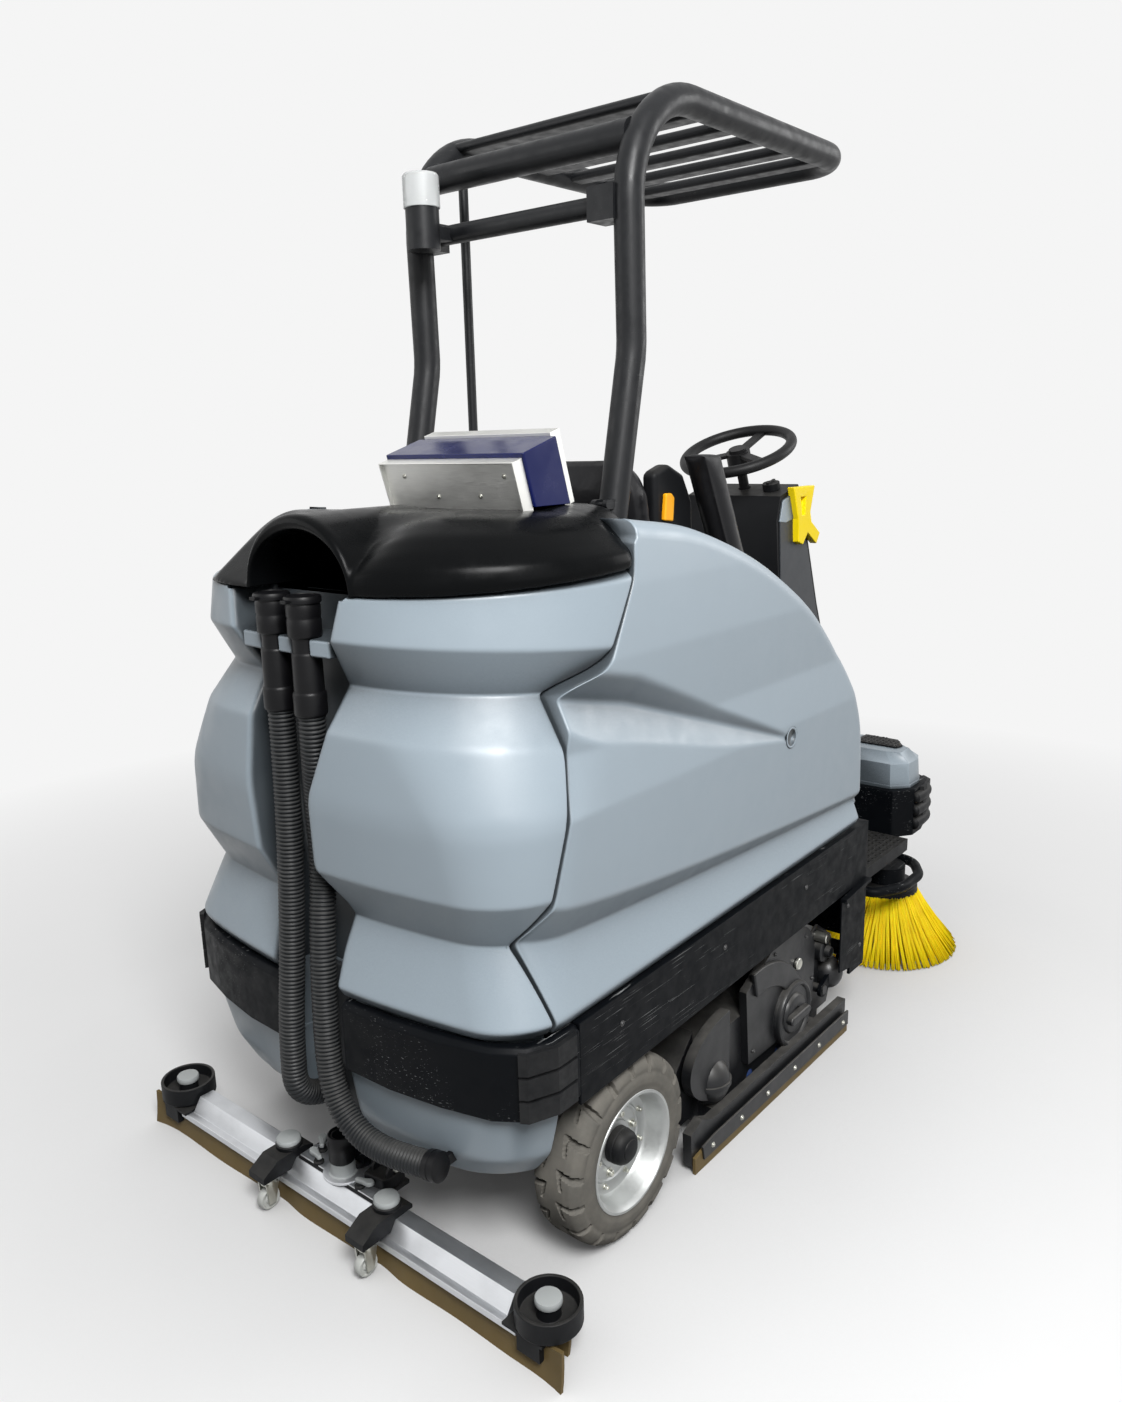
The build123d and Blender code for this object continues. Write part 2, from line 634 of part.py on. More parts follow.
def equipment_box():
    """Blue casing between two stainless trays, leaning back and standing on the lid."""
    width, depth, height = CASING_SIZE
    tray_w, tray_d, tray_h = TRAY_SIZE
    upright = (Align.CENTER, Align.CENTER, Align.MIN)
    lid = lid_dome(0)

    def placed(shape):
        return Pos(*BOX_BASE) * Rot(X=BOX_LEAN) * Pos(0, 0, -BOX_SINK) * shape - lid

    casing = Box(width, depth, height + BOX_SINK, align=upright)
    casing = fillet(casing.edges().filter_by(Axis.Z), 4)
    trays = []
    for facing, wide, tall in ((-1, tray_w, tray_h), (1, width - 30, height + 6)):
        y = facing * (depth + tray_d) / 2
        tray = Pos(0, y, 0) * Box(wide, tray_d, tall + BOX_SINK, align=upright)
        inner = (wide - 2 * TRAY_WALL, tray_d, tall + BOX_SINK - TRAY_WALL)
        trays.append(placed(tray - Pos(0, y + facing * TRAY_WALL, 0) * Box(*inner, align=upright)))
    return placed(casing), group(trays)


def hose_route(points):
    """Straight runs with arcs as large as the runs allow; prints the radii."""
    runs = [Vector(*b) - Vector(*a) for a, b in zip(points, points[1:])]
    room = [0.45 * run.length for run in runs]
    room[0] = runs[0].length - 2 * HOSE_CREST_R
    room[-1] = runs[-1].length - 2 * HOSE_CREST_R
    radii = []
    for corner, (run, after) in enumerate(zip(runs, runs[1:])):
        turn = math.radians(run.get_angle(after))
        radii.append(min(room[corner], room[corner + 1]) / math.tan(turn / 2))
    print("hose bend radii", [round(r) for r in radii])
    return FilletPolyline(*points, radius=radii)


def drain_hose(name, points, steady):
    """Ribbed hose with its bore; the ends run plain for one diameter."""
    path = hose_route(points)
    length = path.length
    plain = 2 * HOSE_CREST_R
    ribs = int((length - 2 * plain) / HOSE_PITCH)
    stations = [(0.0, HOSE_CREST_R), (plain - 2, HOSE_CREST_R)]
    for rib in range(ribs):
        base = plain + rib * HOSE_PITCH
        for share, radius in zip((0.1, 0.35, 0.6, 0.85), [HOSE_ROOT_R] * 2 + [HOSE_CREST_R] * 2):
            stations.append((base + share * HOSE_PITCH, radius))
    stations += [(length - plain + 2, HOSE_CREST_R), (length, HOSE_CREST_R)]
    rings = []
    for at, radius in stations:
        plane = Plane(origin=path @ (at / length), x_dir=steady_side(path % (at / length), steady),
                      z_dir=path % (at / length))
        rings.append(plane * Circle(radius))
    outer = loft(rings, ruled=True)
    bore = sweep(Plane(origin=path @ 0, z_dir=path % 0) * Circle(HOSE_BORE_R), path=path)
    hose = outer - bore
    print(name, "length", round(length), "ribs", ribs, "volume", round(hose.volume),
          "bore share", round(bore.volume / (math.pi * HOSE_BORE_R ** 2 * length), 3))
    return hose


def steady_side(along, steady):
    """Sideways direction that stays as close as it can to a fixed one."""
    side = Vector(*steady) - along * along.dot(Vector(*steady))
    return side.normalized()


def hose_cuffs():
    """Black cuffs at the hose tops, and the plate with two rings that holds them."""
    cuffs = []
    holder = span((-124, 88), (-336, RECESS_Y), (1206, 1222))
    for points in (HOSE_LEFT, HOSE_RIGHT):
        x, y, _ = points[0]
        cuffs.append(turned_z(CUFF, x, y))
        holder -= rod((x, y, 1100), (x, y, 1300), 30.4)
    before, last = Vector(*HOSE_RIGHT[-2]), Vector(*HOSE_RIGHT[-1])
    plug = rod(last, last + (last - before).normalized() * 24, HOSE_CREST_R + 3)
    strap = span((last.X + 8, last.X + 18), (last.Y, -280), (last.Z - 10, last.Z + 14))
    return group(cuffs + [holder, plug + (strap - apron(0, APRON_LEVELS, APRON_FRONT))])


def roof_frame():
    """Bent roof tube with slats, rear cross tube, cross bar, stay and the beacon's holder."""
    front = ROOF_FRONT
    right = [(POST_X, POST_FOOT_Y, BEAM_Z[1]), (POST_X, POST_FOOT_Y, 1395), (POST_X, 310, 1730),
             (POST_X, 300, ROOF_TOP), (POST_X, front, ROOF_TOP)]
    left = [(-x, y, z) for x, y, z in reversed(right)]
    bends = [250, 300, ROOF_BEND, 95]
    tube = bent_tube(right + left, bends + bends[::-1], ROOF_R, ROOF_BORE)
    filled = bent_tube(right + left, bends + bends[::-1], ROOF_R)
    reach = (-POST_X + 15, POST_X - 15)
    bars = [bar_x(*reach, 341, 2130, ROOF_R)]
    for slat in range(SLATS):
        y = 440 + slat * (front - 90 - 440) / (SLATS - 1)
        width, height = SLAT_SIZE
        middle = Plane(origin=(reach[0], y, ROOF_TOP - 8), x_dir=(0, 1, 0), z_dir=(1, 0, 0))
        bars.append(extrude(middle * SlotOverall(width, height), amount=reach[1] - reach[0], dir=(1, 0, 0)))
    cross = bar_x(*reach, CROSS_Y, CROSS_Z, 20)
    cross += span((214, POST_X - 12), (CROSS_Y - 30, CROSS_Y + 30), (CROSS_Z - 32, CROSS_Z + 32))
    cross += span((12 - POST_X, -222), (CROSS_Y - 34, CROSS_Y + 30), (CROSS_Z - 30, CROSS_Z + 28))
    x, y = BEACON
    cross += span((x - 22, x + 22), (y - 10, CROSS_Y - 12), (CROSS_Z - 16, CROSS_Z + 10))
    cross += rod((x, y, CROSS_Z - 40), (x, y, LENS_Z[0]), LENS_R - 3)
    stay_x, stay_y, stay_r = STAY
    stay = rod((stay_x, stay_y, CONSOLE_TOP), (stay_x, stay_y, ROOF_TOP - 10), stay_r)
    return group([tube] + [bar - filled for bar in bars + [cross, stay] + hinge_brackets()])


def beacon_lens():
    """Clear lens of the beacon, a capped tube."""
    low, high = LENS_Z
    profile = [(0, high), (LENS_R - 4, high), (LENS_R, high - 5), (LENS_R, low), (LENS_R - 3, low),
               (LENS_R - 3, high - 6), (0, high - 4)]
    return turned_z(profile, *BEACON)


def seat_console():
    """Black cover over the battery, with the seat rails on top."""
    profile = [(285, TRAY_TOP), (285, CONSOLE_TOP), (820, CONSOLE_TOP), (900, 860), (1004, 520),
               (1004, TRAY_TOP)]
    inner = [(285 + 6, TRAY_TOP - 1), (291, CONSOLE_TOP - 6), (817, CONSOLE_TOP - 6), (895, 855),
             (998, 518), (998, TRAY_TOP - 1)]
    console = slab_x(profile, -CONSOLE_X, CONSOLE_X) - slab_x(inner, -CONSOLE_X + 6, CONSOLE_X - 6)
    for x in both_x(140, 170):
        console += span(x, (430, 800), (CONSOLE_TOP - 2, CONSOLE_TOP + 12))
    return console


def seat_base():
    """Seat pan with its runners and the ears of the backrest hinge."""
    pan = span((-215, 215), (415, 860), (926, SEAT_Z[0]))
    for x in both_x(134, 176):
        pan += span(x, (480, 780), (CONSOLE_TOP + 2, 928))
    for x in both_x(139.5, 170.5):
        pan -= span(x, (400, 900), (CONSOLE_TOP - 1, CONSOLE_TOP + 13))
    y, z = BACK_PIVOT
    for x in both_x(200, 210):
        lug = [(y - 25, z - 20), (y - 25, z + 22), (y + 25, z + 22), (y + 60, 930), (y - 40, 930)]
        pan += slab_x(lug, *x)
    return pan + bar_x(-222, -200, y, z, 10) + bar_x(200, 222, y, z, 10)


def rounded_box(half_x, y0, y1, inset, corner):
    """Rounded rectangle in plan."""
    middle = (y0 + y1) / 2
    return Pos(0, middle) * RectangleRounded(2 * (half_x - inset), y1 - y0 - 2 * inset, corner)


def seat_cushion():
    """Seat cushion: drawn-in sides, crowned top, two sewn channels."""
    z0, z1 = SEAT_Z
    levels = [(z0, 22), (z0 + 22, 2), (z0 + 60, 7), (z0 + 92, 3), (z0 + 118, 20), (z1, 62)]
    sections = [Pos(0, 0, z) * rounded_box(SEAT_HALF, *SEAT_Y, inset, 60 - inset * 0.5) for z, inset in levels]
    cushion = loft(sections, ruled=True)
    for x in (-120, 120):
        cushion -= rod((x, SEAT_Y[0] + 60, z1 + 3), (x, SEAT_Y[1] - 60, z1 + 3), 8)
    for x in both_x(190, 220):
        cushion -= span(x, (380, BACK_PIVOT[0] + 70), (900, 1200))
    return cushion - span((-300, 300), (380, BACK_PIVOT[0] + 36), (z0 + 72, 1200))


def back_frame(shape):
    """Lean a shape of the backrest, drawn upright, about its hinge."""
    y, z = BACK_PIVOT
    return Pos(0, y, z) * Rot(X=BACK_LEAN) * Pos(0, -y, -z) * shape


def seat_backrest():
    """Backrest: padded shell with drawn-in sides, its hinge lugs and the armrest's bracket."""
    z0, z1 = BACK_Z
    middle = (z0 + z1) / 2
    tall = z1 - z0
    levels = [(0, 40), (14, 10), (40, 0), (66, 8), (92, 40), (104, 90)]
    sections = []
    for depth, inset in levels:
        plane = Plane(origin=(0, BACK_PIVOT[0] - 34 + depth, middle), x_dir=(1, 0, 0), z_dir=(0, -1, 0))
        wide = 2 * (SEAT_HALF + 5 - inset)
        sections.append(plane * RectangleRounded(wide, tall - 2 * inset, 90 - inset * 0.6))
    back = back_frame(loft(sections, ruled=True))
    y, z = BACK_PIVOT
    for side in (1, -1):
        x = sorted((side * 210.4, side * 222))
        lug = slab_x([(y - 18, z - 18), (y + 18, z - 18), (y + 22, z + 70), (y - 30, z + 90)], *x)
        back += lug - bar_x(-240, 240, y, z, 10 + RUN_FIT)
    arm_y, arm_z = ARM_PIVOT
    bracket = slab_x([(y - 5, arm_z - 40), (arm_y + 20, arm_z - 22), (arm_y + 20, arm_z + 22),
                      (y - 20, arm_z + 40)],
                     SEAT_HALF + 3, ARM_X[0] - 1)
    back += span((SEAT_HALF - 30, SEAT_HALF + 6), (y - 15, y + 20), (arm_z - 38, arm_z + 38))
    return back + bracket + bar_x(ARM_X[0] - 4, ARM_X[0] + 30, arm_y, arm_z, 10)


def armrest():
    """Armrest folded up beside the backrest, with a slanted end."""
    y, z = ARM_PIVOT
    outline = [(y - 34, z - 34), (y + 34, z - 34), (y + 34, z + ARM_LENGTH - 30), (y - 34, z + ARM_LENGTH)]
    arm = slab_x(outline, *ARM_X)
    arm = Pos(0, y, z) * Rot(X=ARM_LEAN) * Pos(0, -y, -z) * arm
    return arm - bar_x(ARM_X[0] - 5, ARM_X[0] + 31, y, z, 10 + RUN_FIT)


def battery_pack():
    """Traction battery in the tray under the seat."""
    pack = span((-250, 250), (310, 860), (TRAY_TOP, 820))
    for y in (420, 585, 750):
        pack += span((-200, 200), (y - 30, y + 30), (815, 836))
    return pack


def suction_turbine():
    """Suction motor on its stand pipe inside the tank."""
    x, y = TURBINE
    profile = [(0, 1040), (70, 1040), (78, 1060), (78, 1180), (60, 1200), (60, 1240), (0, 1240)]
    return turned_z(profile, x, y) + rod((x, y, TANK_BOTTOM + WALL), (x, y, 1045), 30)


def rear_wheel():
    """Right tyre and rim with hub cap and bolts, drawn about the axle."""
    def out(points):
        return [(WHEEL_OUT - depth, radius) for depth, radius in points]

    tyre = turned_x(out([(3, 124), (0, 150), (4, 172), (14, 186), (30, TYRE_R), (TYRE_W - 30, TYRE_R),
                         (TYRE_W - 14, 186), (TYRE_W - 4, 172), (TYRE_W, 150), (TYRE_W - 3, 124),
                         (TYRE_W - 10, RIM_SEAT_R), (10, RIM_SEAT_R)]), 0, TYRE_R)
    hub_in = SPINDLE_R + RUN_FIT
    rim = turned_x(out([(3, 122), (10, RIM_SEAT_R), (105, RIM_SEAT_R), (112, 122), (112, 117), (104, 106),
                        (62, 104), (58, 98), (58, 46), (112, 46), (112, hub_in), (22, hub_in), (22, 46),
                        (50, 46),
                        (50, 96), (46, 102), (10, 108), (3, 117)]), 0, TYRE_R)
    cap = turned_x(out([(4, 0), (4, 20), (8, 28), (22, 32), (22, 0)]), 0, TYRE_R)
    parts = [rim, cap]
    for bolt in range(RIM_BOLTS):
        angle = 2 * math.pi * (bolt + 0.25) / RIM_BOLTS
        y = RIM_BOLT_PCD_R * math.cos(angle)
        z = TYRE_R + RIM_BOLT_PCD_R * math.sin(angle)
        parts.append(bar_x(WHEEL_OUT - 50, WHEEL_OUT - 36, y, z, 9))
    return tyre, group(parts)


def front_wheel():
    """Front tyre on the hub that houses the drive motor."""
    half = FRONT_W / 2
    tyre = turned_x([(-half, 100), (-half, 125), (-half + 12, FRONT_R), (half - 12, FRONT_R), (half, 125),
                     (half, 100)],
                    FRONT_Y, FRONT_R)
    bore = FORK_PIN_R + RUN_FIT
    hub = turned_x([(-half - 6, bore), (-half - 6, 60), (-half, 100), (half, 100), (half + 6, 60),
                    (half + 6, bore)],
                   FRONT_Y, FRONT_R)
    return group([tyre, hub])


def front_fork():
    """Steered fork with its axle pin and spindle."""
    fork = span((-74, 74), (FRONT_Y - 45, FRONT_Y + 45), (286, 299))
    for x in both_x(56, 74):
        fork += span(x, (FRONT_Y - 32, FRONT_Y + 32), (110, 290))
    fork += bar_x(-60, 60, FRONT_Y, FRONT_R, FORK_PIN_R)
    return fork + rod((0, FRONT_Y, 295), (0, FRONT_Y, 343), STEER_R)


def steer_plane():
    """Plane of the steering wheel, its Z along the column."""
    tilt = math.radians(WHEEL_TILT)
    return Plane(origin=WHEEL_CENTRE, x_dir=(1, 0, 0), z_dir=(0, -math.sin(tilt), math.cos(tilt)))


def steering_wheel():
    """Grip ring, three spokes, hub and column shaft."""
    plane = steer_plane()
    ring = Torus(WHEEL_R - WHEEL_GRIP_R, WHEEL_GRIP_R)
    hub = Pos(0, 0, -22) * Cylinder(34, 44) + Pos(0, 0, 2) * Cylinder(24, 14)
    wheel = ring + hub
    for angle in (90, 210, 330):
        spoke = Pos(WHEEL_R / 2 - 4, 0, -6) * Box(WHEEL_R - 40, 26, 9)
        wheel += Rot(Z=angle) * spoke
    wheel += Pos(0, 0, -130) * Cylinder(14, 200)
    return plane * wheel


def steering_tower():
    """Steering tower: moulded shell with a dash on top, open at the floor."""
    tower = slab_x(TOWER, -TOWER_HALF, TOWER_HALF)
    skin = [(1246, 340), (1211, 1000), (1178, 1329), (1197, 1391), (1289, 1417), (1306, 1393),
            (1374, 1198), (1422, 1068), (1539, 798), (1592, 625), (1592, 612), (1555, 612), (1528, 500),
            (1528, 340)]
    tower -= slab_x(skin, -TOWER_HALF + 6, TOWER_HALF - 6)
    plane = steer_plane()
    tower -= plane * Pos(0, 0, -120) * Cylinder(18, 240)
    for x, r in ((DIAL_X, 10), (STOP_X, 12)):
        tower -= dash_plane(x) * Cylinder(r + RUN_FIT, 60)
    return tower


def dash_plane(x):
    """Plane on the slanted dash, centred at one control."""
    a, b = TOWER[3], TOWER[4]
    slope = math.atan2(b[1] - a[1], b[0] - a[0])
    origin = (x, (a[0] + b[0]) / 2, (a[1] + b[1]) / 2)
    return Plane(origin=origin, x_dir=(1, 0, 0), z_dir=(0, -math.sin(slope), math.cos(slope)))


def program_dial():
    """Programme dial on the dash, with its stem through the panel."""
    dial = Pos(0, 0, 11) * Cylinder(24, 20) + Pos(0, 0, 22) * Box(8, 40, 8)
    return dash_plane(DIAL_X) * (dial + Pos(0, 0, -10) * Cylinder(10, 30))


def emergency_stop():
    """Mushroom button that pushes into the dash."""
    cap = Pos(0, 0, 18) * Cylinder(20, 14) + Pos(0, 0, -4) * Cylinder(12, 40)
    return dash_plane(STOP_X) * cap


def mop_hook():
    """Yellow hook on the right of the tower, with a forked foot."""
    points = [(1226, 1418), (1352, 1418), (1330, 1345), (1338, 1318), (1392, 1282), (1372, 1252),
              (1318, 1288), (1290, 1256), (1262, 1266), (1258, 1330)]
    hook = slab_x(points, TOWER_HALF, TOWER_HALF + 22)
    slot = [(1270, 1390), (1300, 1390), (1296, 1340), (1280, 1340)]
    return hook - slab_x(slot, TOWER_HALF + 10, TOWER_HALF + 30)


def nose_plan(inset):
    """Half outline of the nose mirrored to the left, drawn in by an inset."""
    right = [(x - inset, y + (inset if y < 1600 else 0) - (inset if y > 1700 else 0)) for x, y in NOSE]
    return right + [(-x, y) for x, y in reversed(right)]


def front_bumper():
    """Black front bumper, a hollow block with cut corners."""
    block = slab_z(nose_plan(0), *NOSE_Z) - slab_z(nose_plan(14), NOSE_Z[0] - 1, NOSE_Z[1] - 12)
    return block - span((-FRONT_BEAM_X - 40, FRONT_BEAM_X + 40), (1600, 1705), (300, NOSE_Z[0] + 0.01))


def nose_cap():
    """Grey cap on the front bumper with faceted shoulders, cut out for the tower."""
    low, middle, high = CAP_Z
    base = slab_z(nose_plan(16), NOSE_Z[1], low)
    sides = loft([Pos(0, 0, low) * make_face(Polyline(*nose_plan(18), close=True)),
                  Pos(0, 0, middle) * make_face(Polyline(*nose_plan(22), close=True)),
                  Pos(0, 0, high) * make_face(Polyline(*nose_plan(52), close=True))], ruled=True)
    cut = slab_x([(y + (3 if y > 1400 else -3), z) for y, z in TOWER], -TOWER_HALF - 2, TOWER_HALF + 2)
    hollow = slab_z(nose_plan(30), NOSE_Z[1] - 1, middle - 10)
    return base + sides - hollow - cut - span((-TOWER_HALF - 2, TOWER_HALF + 2), (1500, 1603.5), (400, 700))


def floor_plates():
    """Tread plate of the footwell, the pads on the nose and the pedal lugs."""
    hinge_y, hinge_z = PEDAL_HINGE
    plate = span((-FLOOR_X, FLOOR_X), FLOOR_Y, FLOOR_Z)
    for x in both_x(FLOOR_X - 8, FLOOR_X):
        plate += span(x, FLOOR_Y, (FLOOR_Z[0] - 26, FLOOR_Z[1]))
    for x0 in PEDAL_X:
        for x in (x0 - 12, x0 + PEDAL_W + 4):
            plate += span((x, x + 8), (hinge_y - 14, hinge_y + 14), (FLOOR_Z[1] - 1, hinge_z + 12))
        plate += bar_x(x0 - 6, x0 + PEDAL_W + 6, *PEDAL_HINGE, 6)
    pad = [(190, 1640), (330, 1640), (336, 1670), (300, 1722), (190, 1728)]
    pads = slab_z(pad, CAP_Z[2], CAP_Z[2] + 5)
    return group([plate, pads, left_of(pads)])


def pedal(x0):
    """Foot pedal on its hinge pin, sloping up to the front."""
    y, z = PEDAL_HINGE
    outline = [(y - 16, z - 6), (y + 120, z + 56), (y + 116, z + 66), (y - 18, z + 8)]
    plate = slab_x(outline, x0, x0 + PEDAL_W)
    plate += bar_x(x0, x0 + PEDAL_W, y, z, 12)
    return plate - bar_x(x0 - 5, x0 + PEDAL_W + 5, y, z, 6 + RUN_FIT)


def deck_arms():
    """Two pull arms on one torsion tube, from the rail legs to the deck."""
    y, z = ARM_FRONT
    arms = bar_x(-473, 473, y, z, 20)
    for x in both_x(462, 473):
        arm = slab_x([(y - 6, z - 18), (y + 6, z + 18), (DECK_PIVOT[0] - 8, DECK_PIVOT[1] + 17),
                      (DECK_PIVOT[0] + 8, DECK_PIVOT[1] - 17)], *x)
        arms += arm + bar_x(*x, *DECK_PIVOT, 20)
    arms -= bar_x(-500, 500, *DECK_PIVOT, PIN_R + RUN_FIT)
    for x in both_x(440, 500):
        arms -= bar_x(*x, y, z, PIN_R + RUN_FIT)
    return arms


def deck_housing():
    """Roller tunnel with skirts, hopper and brush motor."""
    y0, y1 = DECK_Y
    inner = (-DECK_X, DECK_X)
    tunnel = span(inner, DECK_Y, (DECK_TOP - 8, DECK_TOP))
    tunnel += span(inner, (y0, y0 + 8), (46, DECK_TOP)) + span(inner, (y1 - 8, y1), (46, DECK_TOP))
    for x in both_x(DECK_X - 8, DECK_X):
        tunnel += span(x, DECK_Y, (30, DECK_TOP))
    tunnel += bar_x(-475, -DECK_X + 4, *DECK_PIVOT, PIN_R) + bar_x(DECK_X - 4, 475, *DECK_PIVOT, PIN_R)
    for y in ROLLER_Y:
        tunnel -= bar_x(-500, 500, y, ROLLER_Z, 14 + RUN_FIT)
    for side in (1, -1):
        for y in (360, 870 - 40):
            tunnel += span(sorted((side * DECK_X, side * 472)), (y, y + 30), (52, 76))
        rear, front = SKIRT_Y
        outline = [(rear - 12, 18), (rear - 16, 96), (rear + 30, 112), (rear + 70, 92), (front, 92), (front, 30),
                   (rear + 20, 30)]
        skirt = slab_x(outline, *sorted((side * 470, side * 492)))
        tunnel += skirt
    hopper = slab_x([(250, 110), (262, 200), (y0, 272), (y0, 60), (268, 60)], -425, 425)
    motor = bar_x(110, 420, 760, 290, 54) + span((150, 400), (720, 800), (DECK_TOP, 262))
    y, z, long, tall = FIN
    fin = extrude(Plane.YZ.offset(DECK_X) * Pos(y, z) * Ellipse(long, tall), amount=24, dir=(1, 0, 0))
    tunnel += fin & span((DECK_X, DECK_X + 24), (y - long, y), (z - tall, z + tall))
    return group([tunnel, hopper, motor])


def side_lips():
    """Amber wiper lips along both sides of the deck."""
    rear, front = SKIRT_Y
    outline = [(rear - 10, 0), (rear - 10, 40), (rear + 40, 48), (front, 48), (front, 0)]
    return group([slab_x(outline, *LIP_X), slab_x(outline, -LIP_X[1], -LIP_X[0])])


def belt_cover():
    """Belt cover on the right end of the deck, with a round roller cap and its handle."""
    a, b, c = (610, 352), (740, 372), (850, 250)
    edges = [Polyline((520, 108), (505, 300), a), ThreePointArc(a, (680, 374), b),
             ThreePointArc(b, (826, 334), c), Polyline(c, (846, 160), (800, 100), (520, 108))]
    face = make_face([e for part in edges for e in part.edges()])
    cover = extrude(Plane.YZ.offset(DECK_X) * face, amount=20, dir=(1, 0, 0))
    y, z, r = BELT_CAP
    cover += bar_x(DECK_X + 18, DECK_X + 28, y, z, r)
    return cover + span((DECK_X + 26, DECK_X + 38), (y - 40, y + 40), (z - 9, z + 9))


def brush_roller(y):
    """Brush roller: a shaft and its brush body."""
    body = turned_x([(-420, 14), (-420, ROLLER_R - 4), (-416, ROLLER_R), (416, ROLLER_R), (420, ROLLER_R - 4),
                     (420, 14)],
                    y, ROLLER_Z)
    return group([body, bar_x(-DECK_X + 0.5, DECK_X - 0.5, y, ROLLER_Z, 14)])


def broom_arm():
    """Broom arm with the broom motor and the bent guard tube."""
    x, y = BROOM
    hinge_y, hinge_z = BROOM_HINGE
    arm = bar_x(266, 334, hinge_y, hinge_z, 24)
    arm += span((285, 330), (hinge_y, y), (hinge_z - 14, hinge_z + 4))
    arm += turned_z([(16 + RUN_FIT, 206), (58, 206), (58, 256), (16 + RUN_FIT, 256)], x, y)
    arm -= bar_x(250, 350, hinge_y, hinge_z, PIN_R + RUN_FIT)
    guard = bent_tube([(300, hinge_y + 46, hinge_z), (412, hinge_y + 46, hinge_z), (462, 1415, hinge_z),
                       (462, 1535, hinge_z), (410, 1622, hinge_z), (315, 1642, hinge_z)],
                      [40, 120, 90, 80], 15)
    arm += guard + span((x - 10, x + 20), (y, 1636), (hinge_z - 14, hinge_z - 4))
    return arm - rod((x, y, 100), (x, y, 400), 16 + RUN_FIT)


def broom_hub():
    """Disc that carries the bristles, with its drive stub."""
    x, y = BROOM
    profile = [(0, 184), (BROOM_HUB_R, 184), (BROOM_HUB_R, 196), (60, 203), (16, 203), (16, 256), (0, 256)]
    return turned_z(profile, x, y)


def broom_bristles():
    """Flared rings of bristles under a slice of their backing."""
    x, y = BROOM
    backing = turned_z([(36, 176), (BROOM_HUB_R, 176), (BROOM_HUB_R, 184), (36, 184)], x, y)
    strands = []
    for number, (root, tip, count) in enumerate(STRAND_RINGS):
        for strand in range(count):
            angle = 2 * math.pi * (strand + 0.5 * (number % 2)) / count
            strands.append(bristle(x, y, root, tip, angle))
    print("strands", len(strands))
    return backing.fuse(*strands)


def bristle(x, y, root, tip, angle):
    """One three-sided strand from the backing out to the floor."""
    faces = []
    for radius, z in ((root, STRAND_TOP), (tip, STRAND_TIP)):
        plane = Plane(origin=(x + radius * math.cos(angle), y + radius * math.sin(angle), z),
                      x_dir=(math.cos(angle), math.sin(angle), 0), z_dir=(0, 0, 1))
        faces.append(plane * RegularPolygon(STRAND_SIZE, 3))
    return loft(faces, ruled=True).solid()


def squeegee_arm():
    """Lift arm from the axle to the squeegee, with the swing pin at its end."""
    y, z = LIFT_PIVOT
    arm = span((-34, 34), (SWING_Y - PIN_R - 1, y), (z - 7, z + 7)) + bar_x(-39, 39, y, z, 18)
    arm -= bar_x(-60, 60, y, z, 10 + RUN_FIT)
    return arm + rod((0, SWING_Y, 88), (0, SWING_Y, z - 5), PIN_R)


def squeegee_rail():
    """Aluminium extrusion that holds the blades, milled lower under the wall rollers."""
    rail = slab_x(SQUEEGEE_PROFILE, -RAIL_HALF, RAIL_HALF)
    for x in both_x(RAIL_STEP, RAIL_HALF + 1):
        rail -= span(x, (-400, -200), (BRACKET_Z[0], 120))
    return rail


def squeegee_blades():
    """Rear and front rubber blades, touching the floor; the rear one stands up past the rail's ends."""
    rear = span((-BLADE_HALF, BLADE_HALF), REAR_BLADE_Y, (0, 52))
    for x in both_x(548, BLADE_HALF):
        rear += span(x, REAR_BLADE_Y, (52, BRACKET_Z[0]))
    return group([rear, span((40 - BLADE_HALF, BLADE_HALF - 40), FRONT_BLADE_Y, (0, 52))])


def squeegee_fittings():
    """Clamps with their caster arms, the yoke plate with the suction stub and the roller brackets."""
    solids = []
    for side in (1, -1):
        x = side * CLAMP_X
        outline = [(-430, 78), (-430, 92), (-392, 115), (-324, 115), (-302, 106), (-302, 98), (-346.5, 98),
                   (-361, 78)]
        clamp = slab_x(outline, x - 26, x + 26) + rod((x, KNOB_Y, 113), (x, KNOB_Y, 127), 8)
        solids.append(clamp - rod((x, CASTER_Y, 60), (x, CASTER_Y, 88), 9 + RUN_FIT))
        roller_x, roller_y = side * DEFLECTOR[0], DEFLECTOR[1]
        bracket = span(sorted((side * 494, side * 586)), (-386, -304), BRACKET_Z)
        bracket += span(sorted((side * 528, side * 580)), (-386, -372), (34, BRACKET_Z[1]))
        solids.append(bracket + rod((roller_x, roller_y, 70), (roller_x, roller_y, DEFLECTOR_Z[1] - 6), 10))
    x, y = SUCTION_STUB
    swing = rod((0, SWING_Y, 50), (0, SWING_Y, 200), PIN_R + RUN_FIT)
    plate = span((-122, 122), (-345, -255), (98, 106)) + rod((0, SWING_Y, 98), (0, SWING_Y, 122), 26)
    plate -= rod((x, y, 50), (x, y, 200), 17)
    stub = [(17, 98), (34, 98), (34, 106), (24, 110), (22, 140), (20, 142), (20, 196), (17, 196)]
    solids.append(plate + turned_z(stub, x, y) - swing)
    return group(solids)


def clamp_knob(x):
    """Round grip knob on a squeegee clamp."""
    points = []
    for lobe in range(12):
        radius = 25 if lobe % 2 == 0 else 22
        turn = lobe * math.pi / 6
        points.append((x + radius * math.cos(turn), KNOB_Y + radius * math.sin(turn)))
    knob = slab_z(points, 116, 135) + rod((x, KNOB_Y, 134), (x, KNOB_Y, 140), 18)
    return knob - rod((x, KNOB_Y, 110), (x, KNOB_Y, 128), 8 + RUN_FIT)


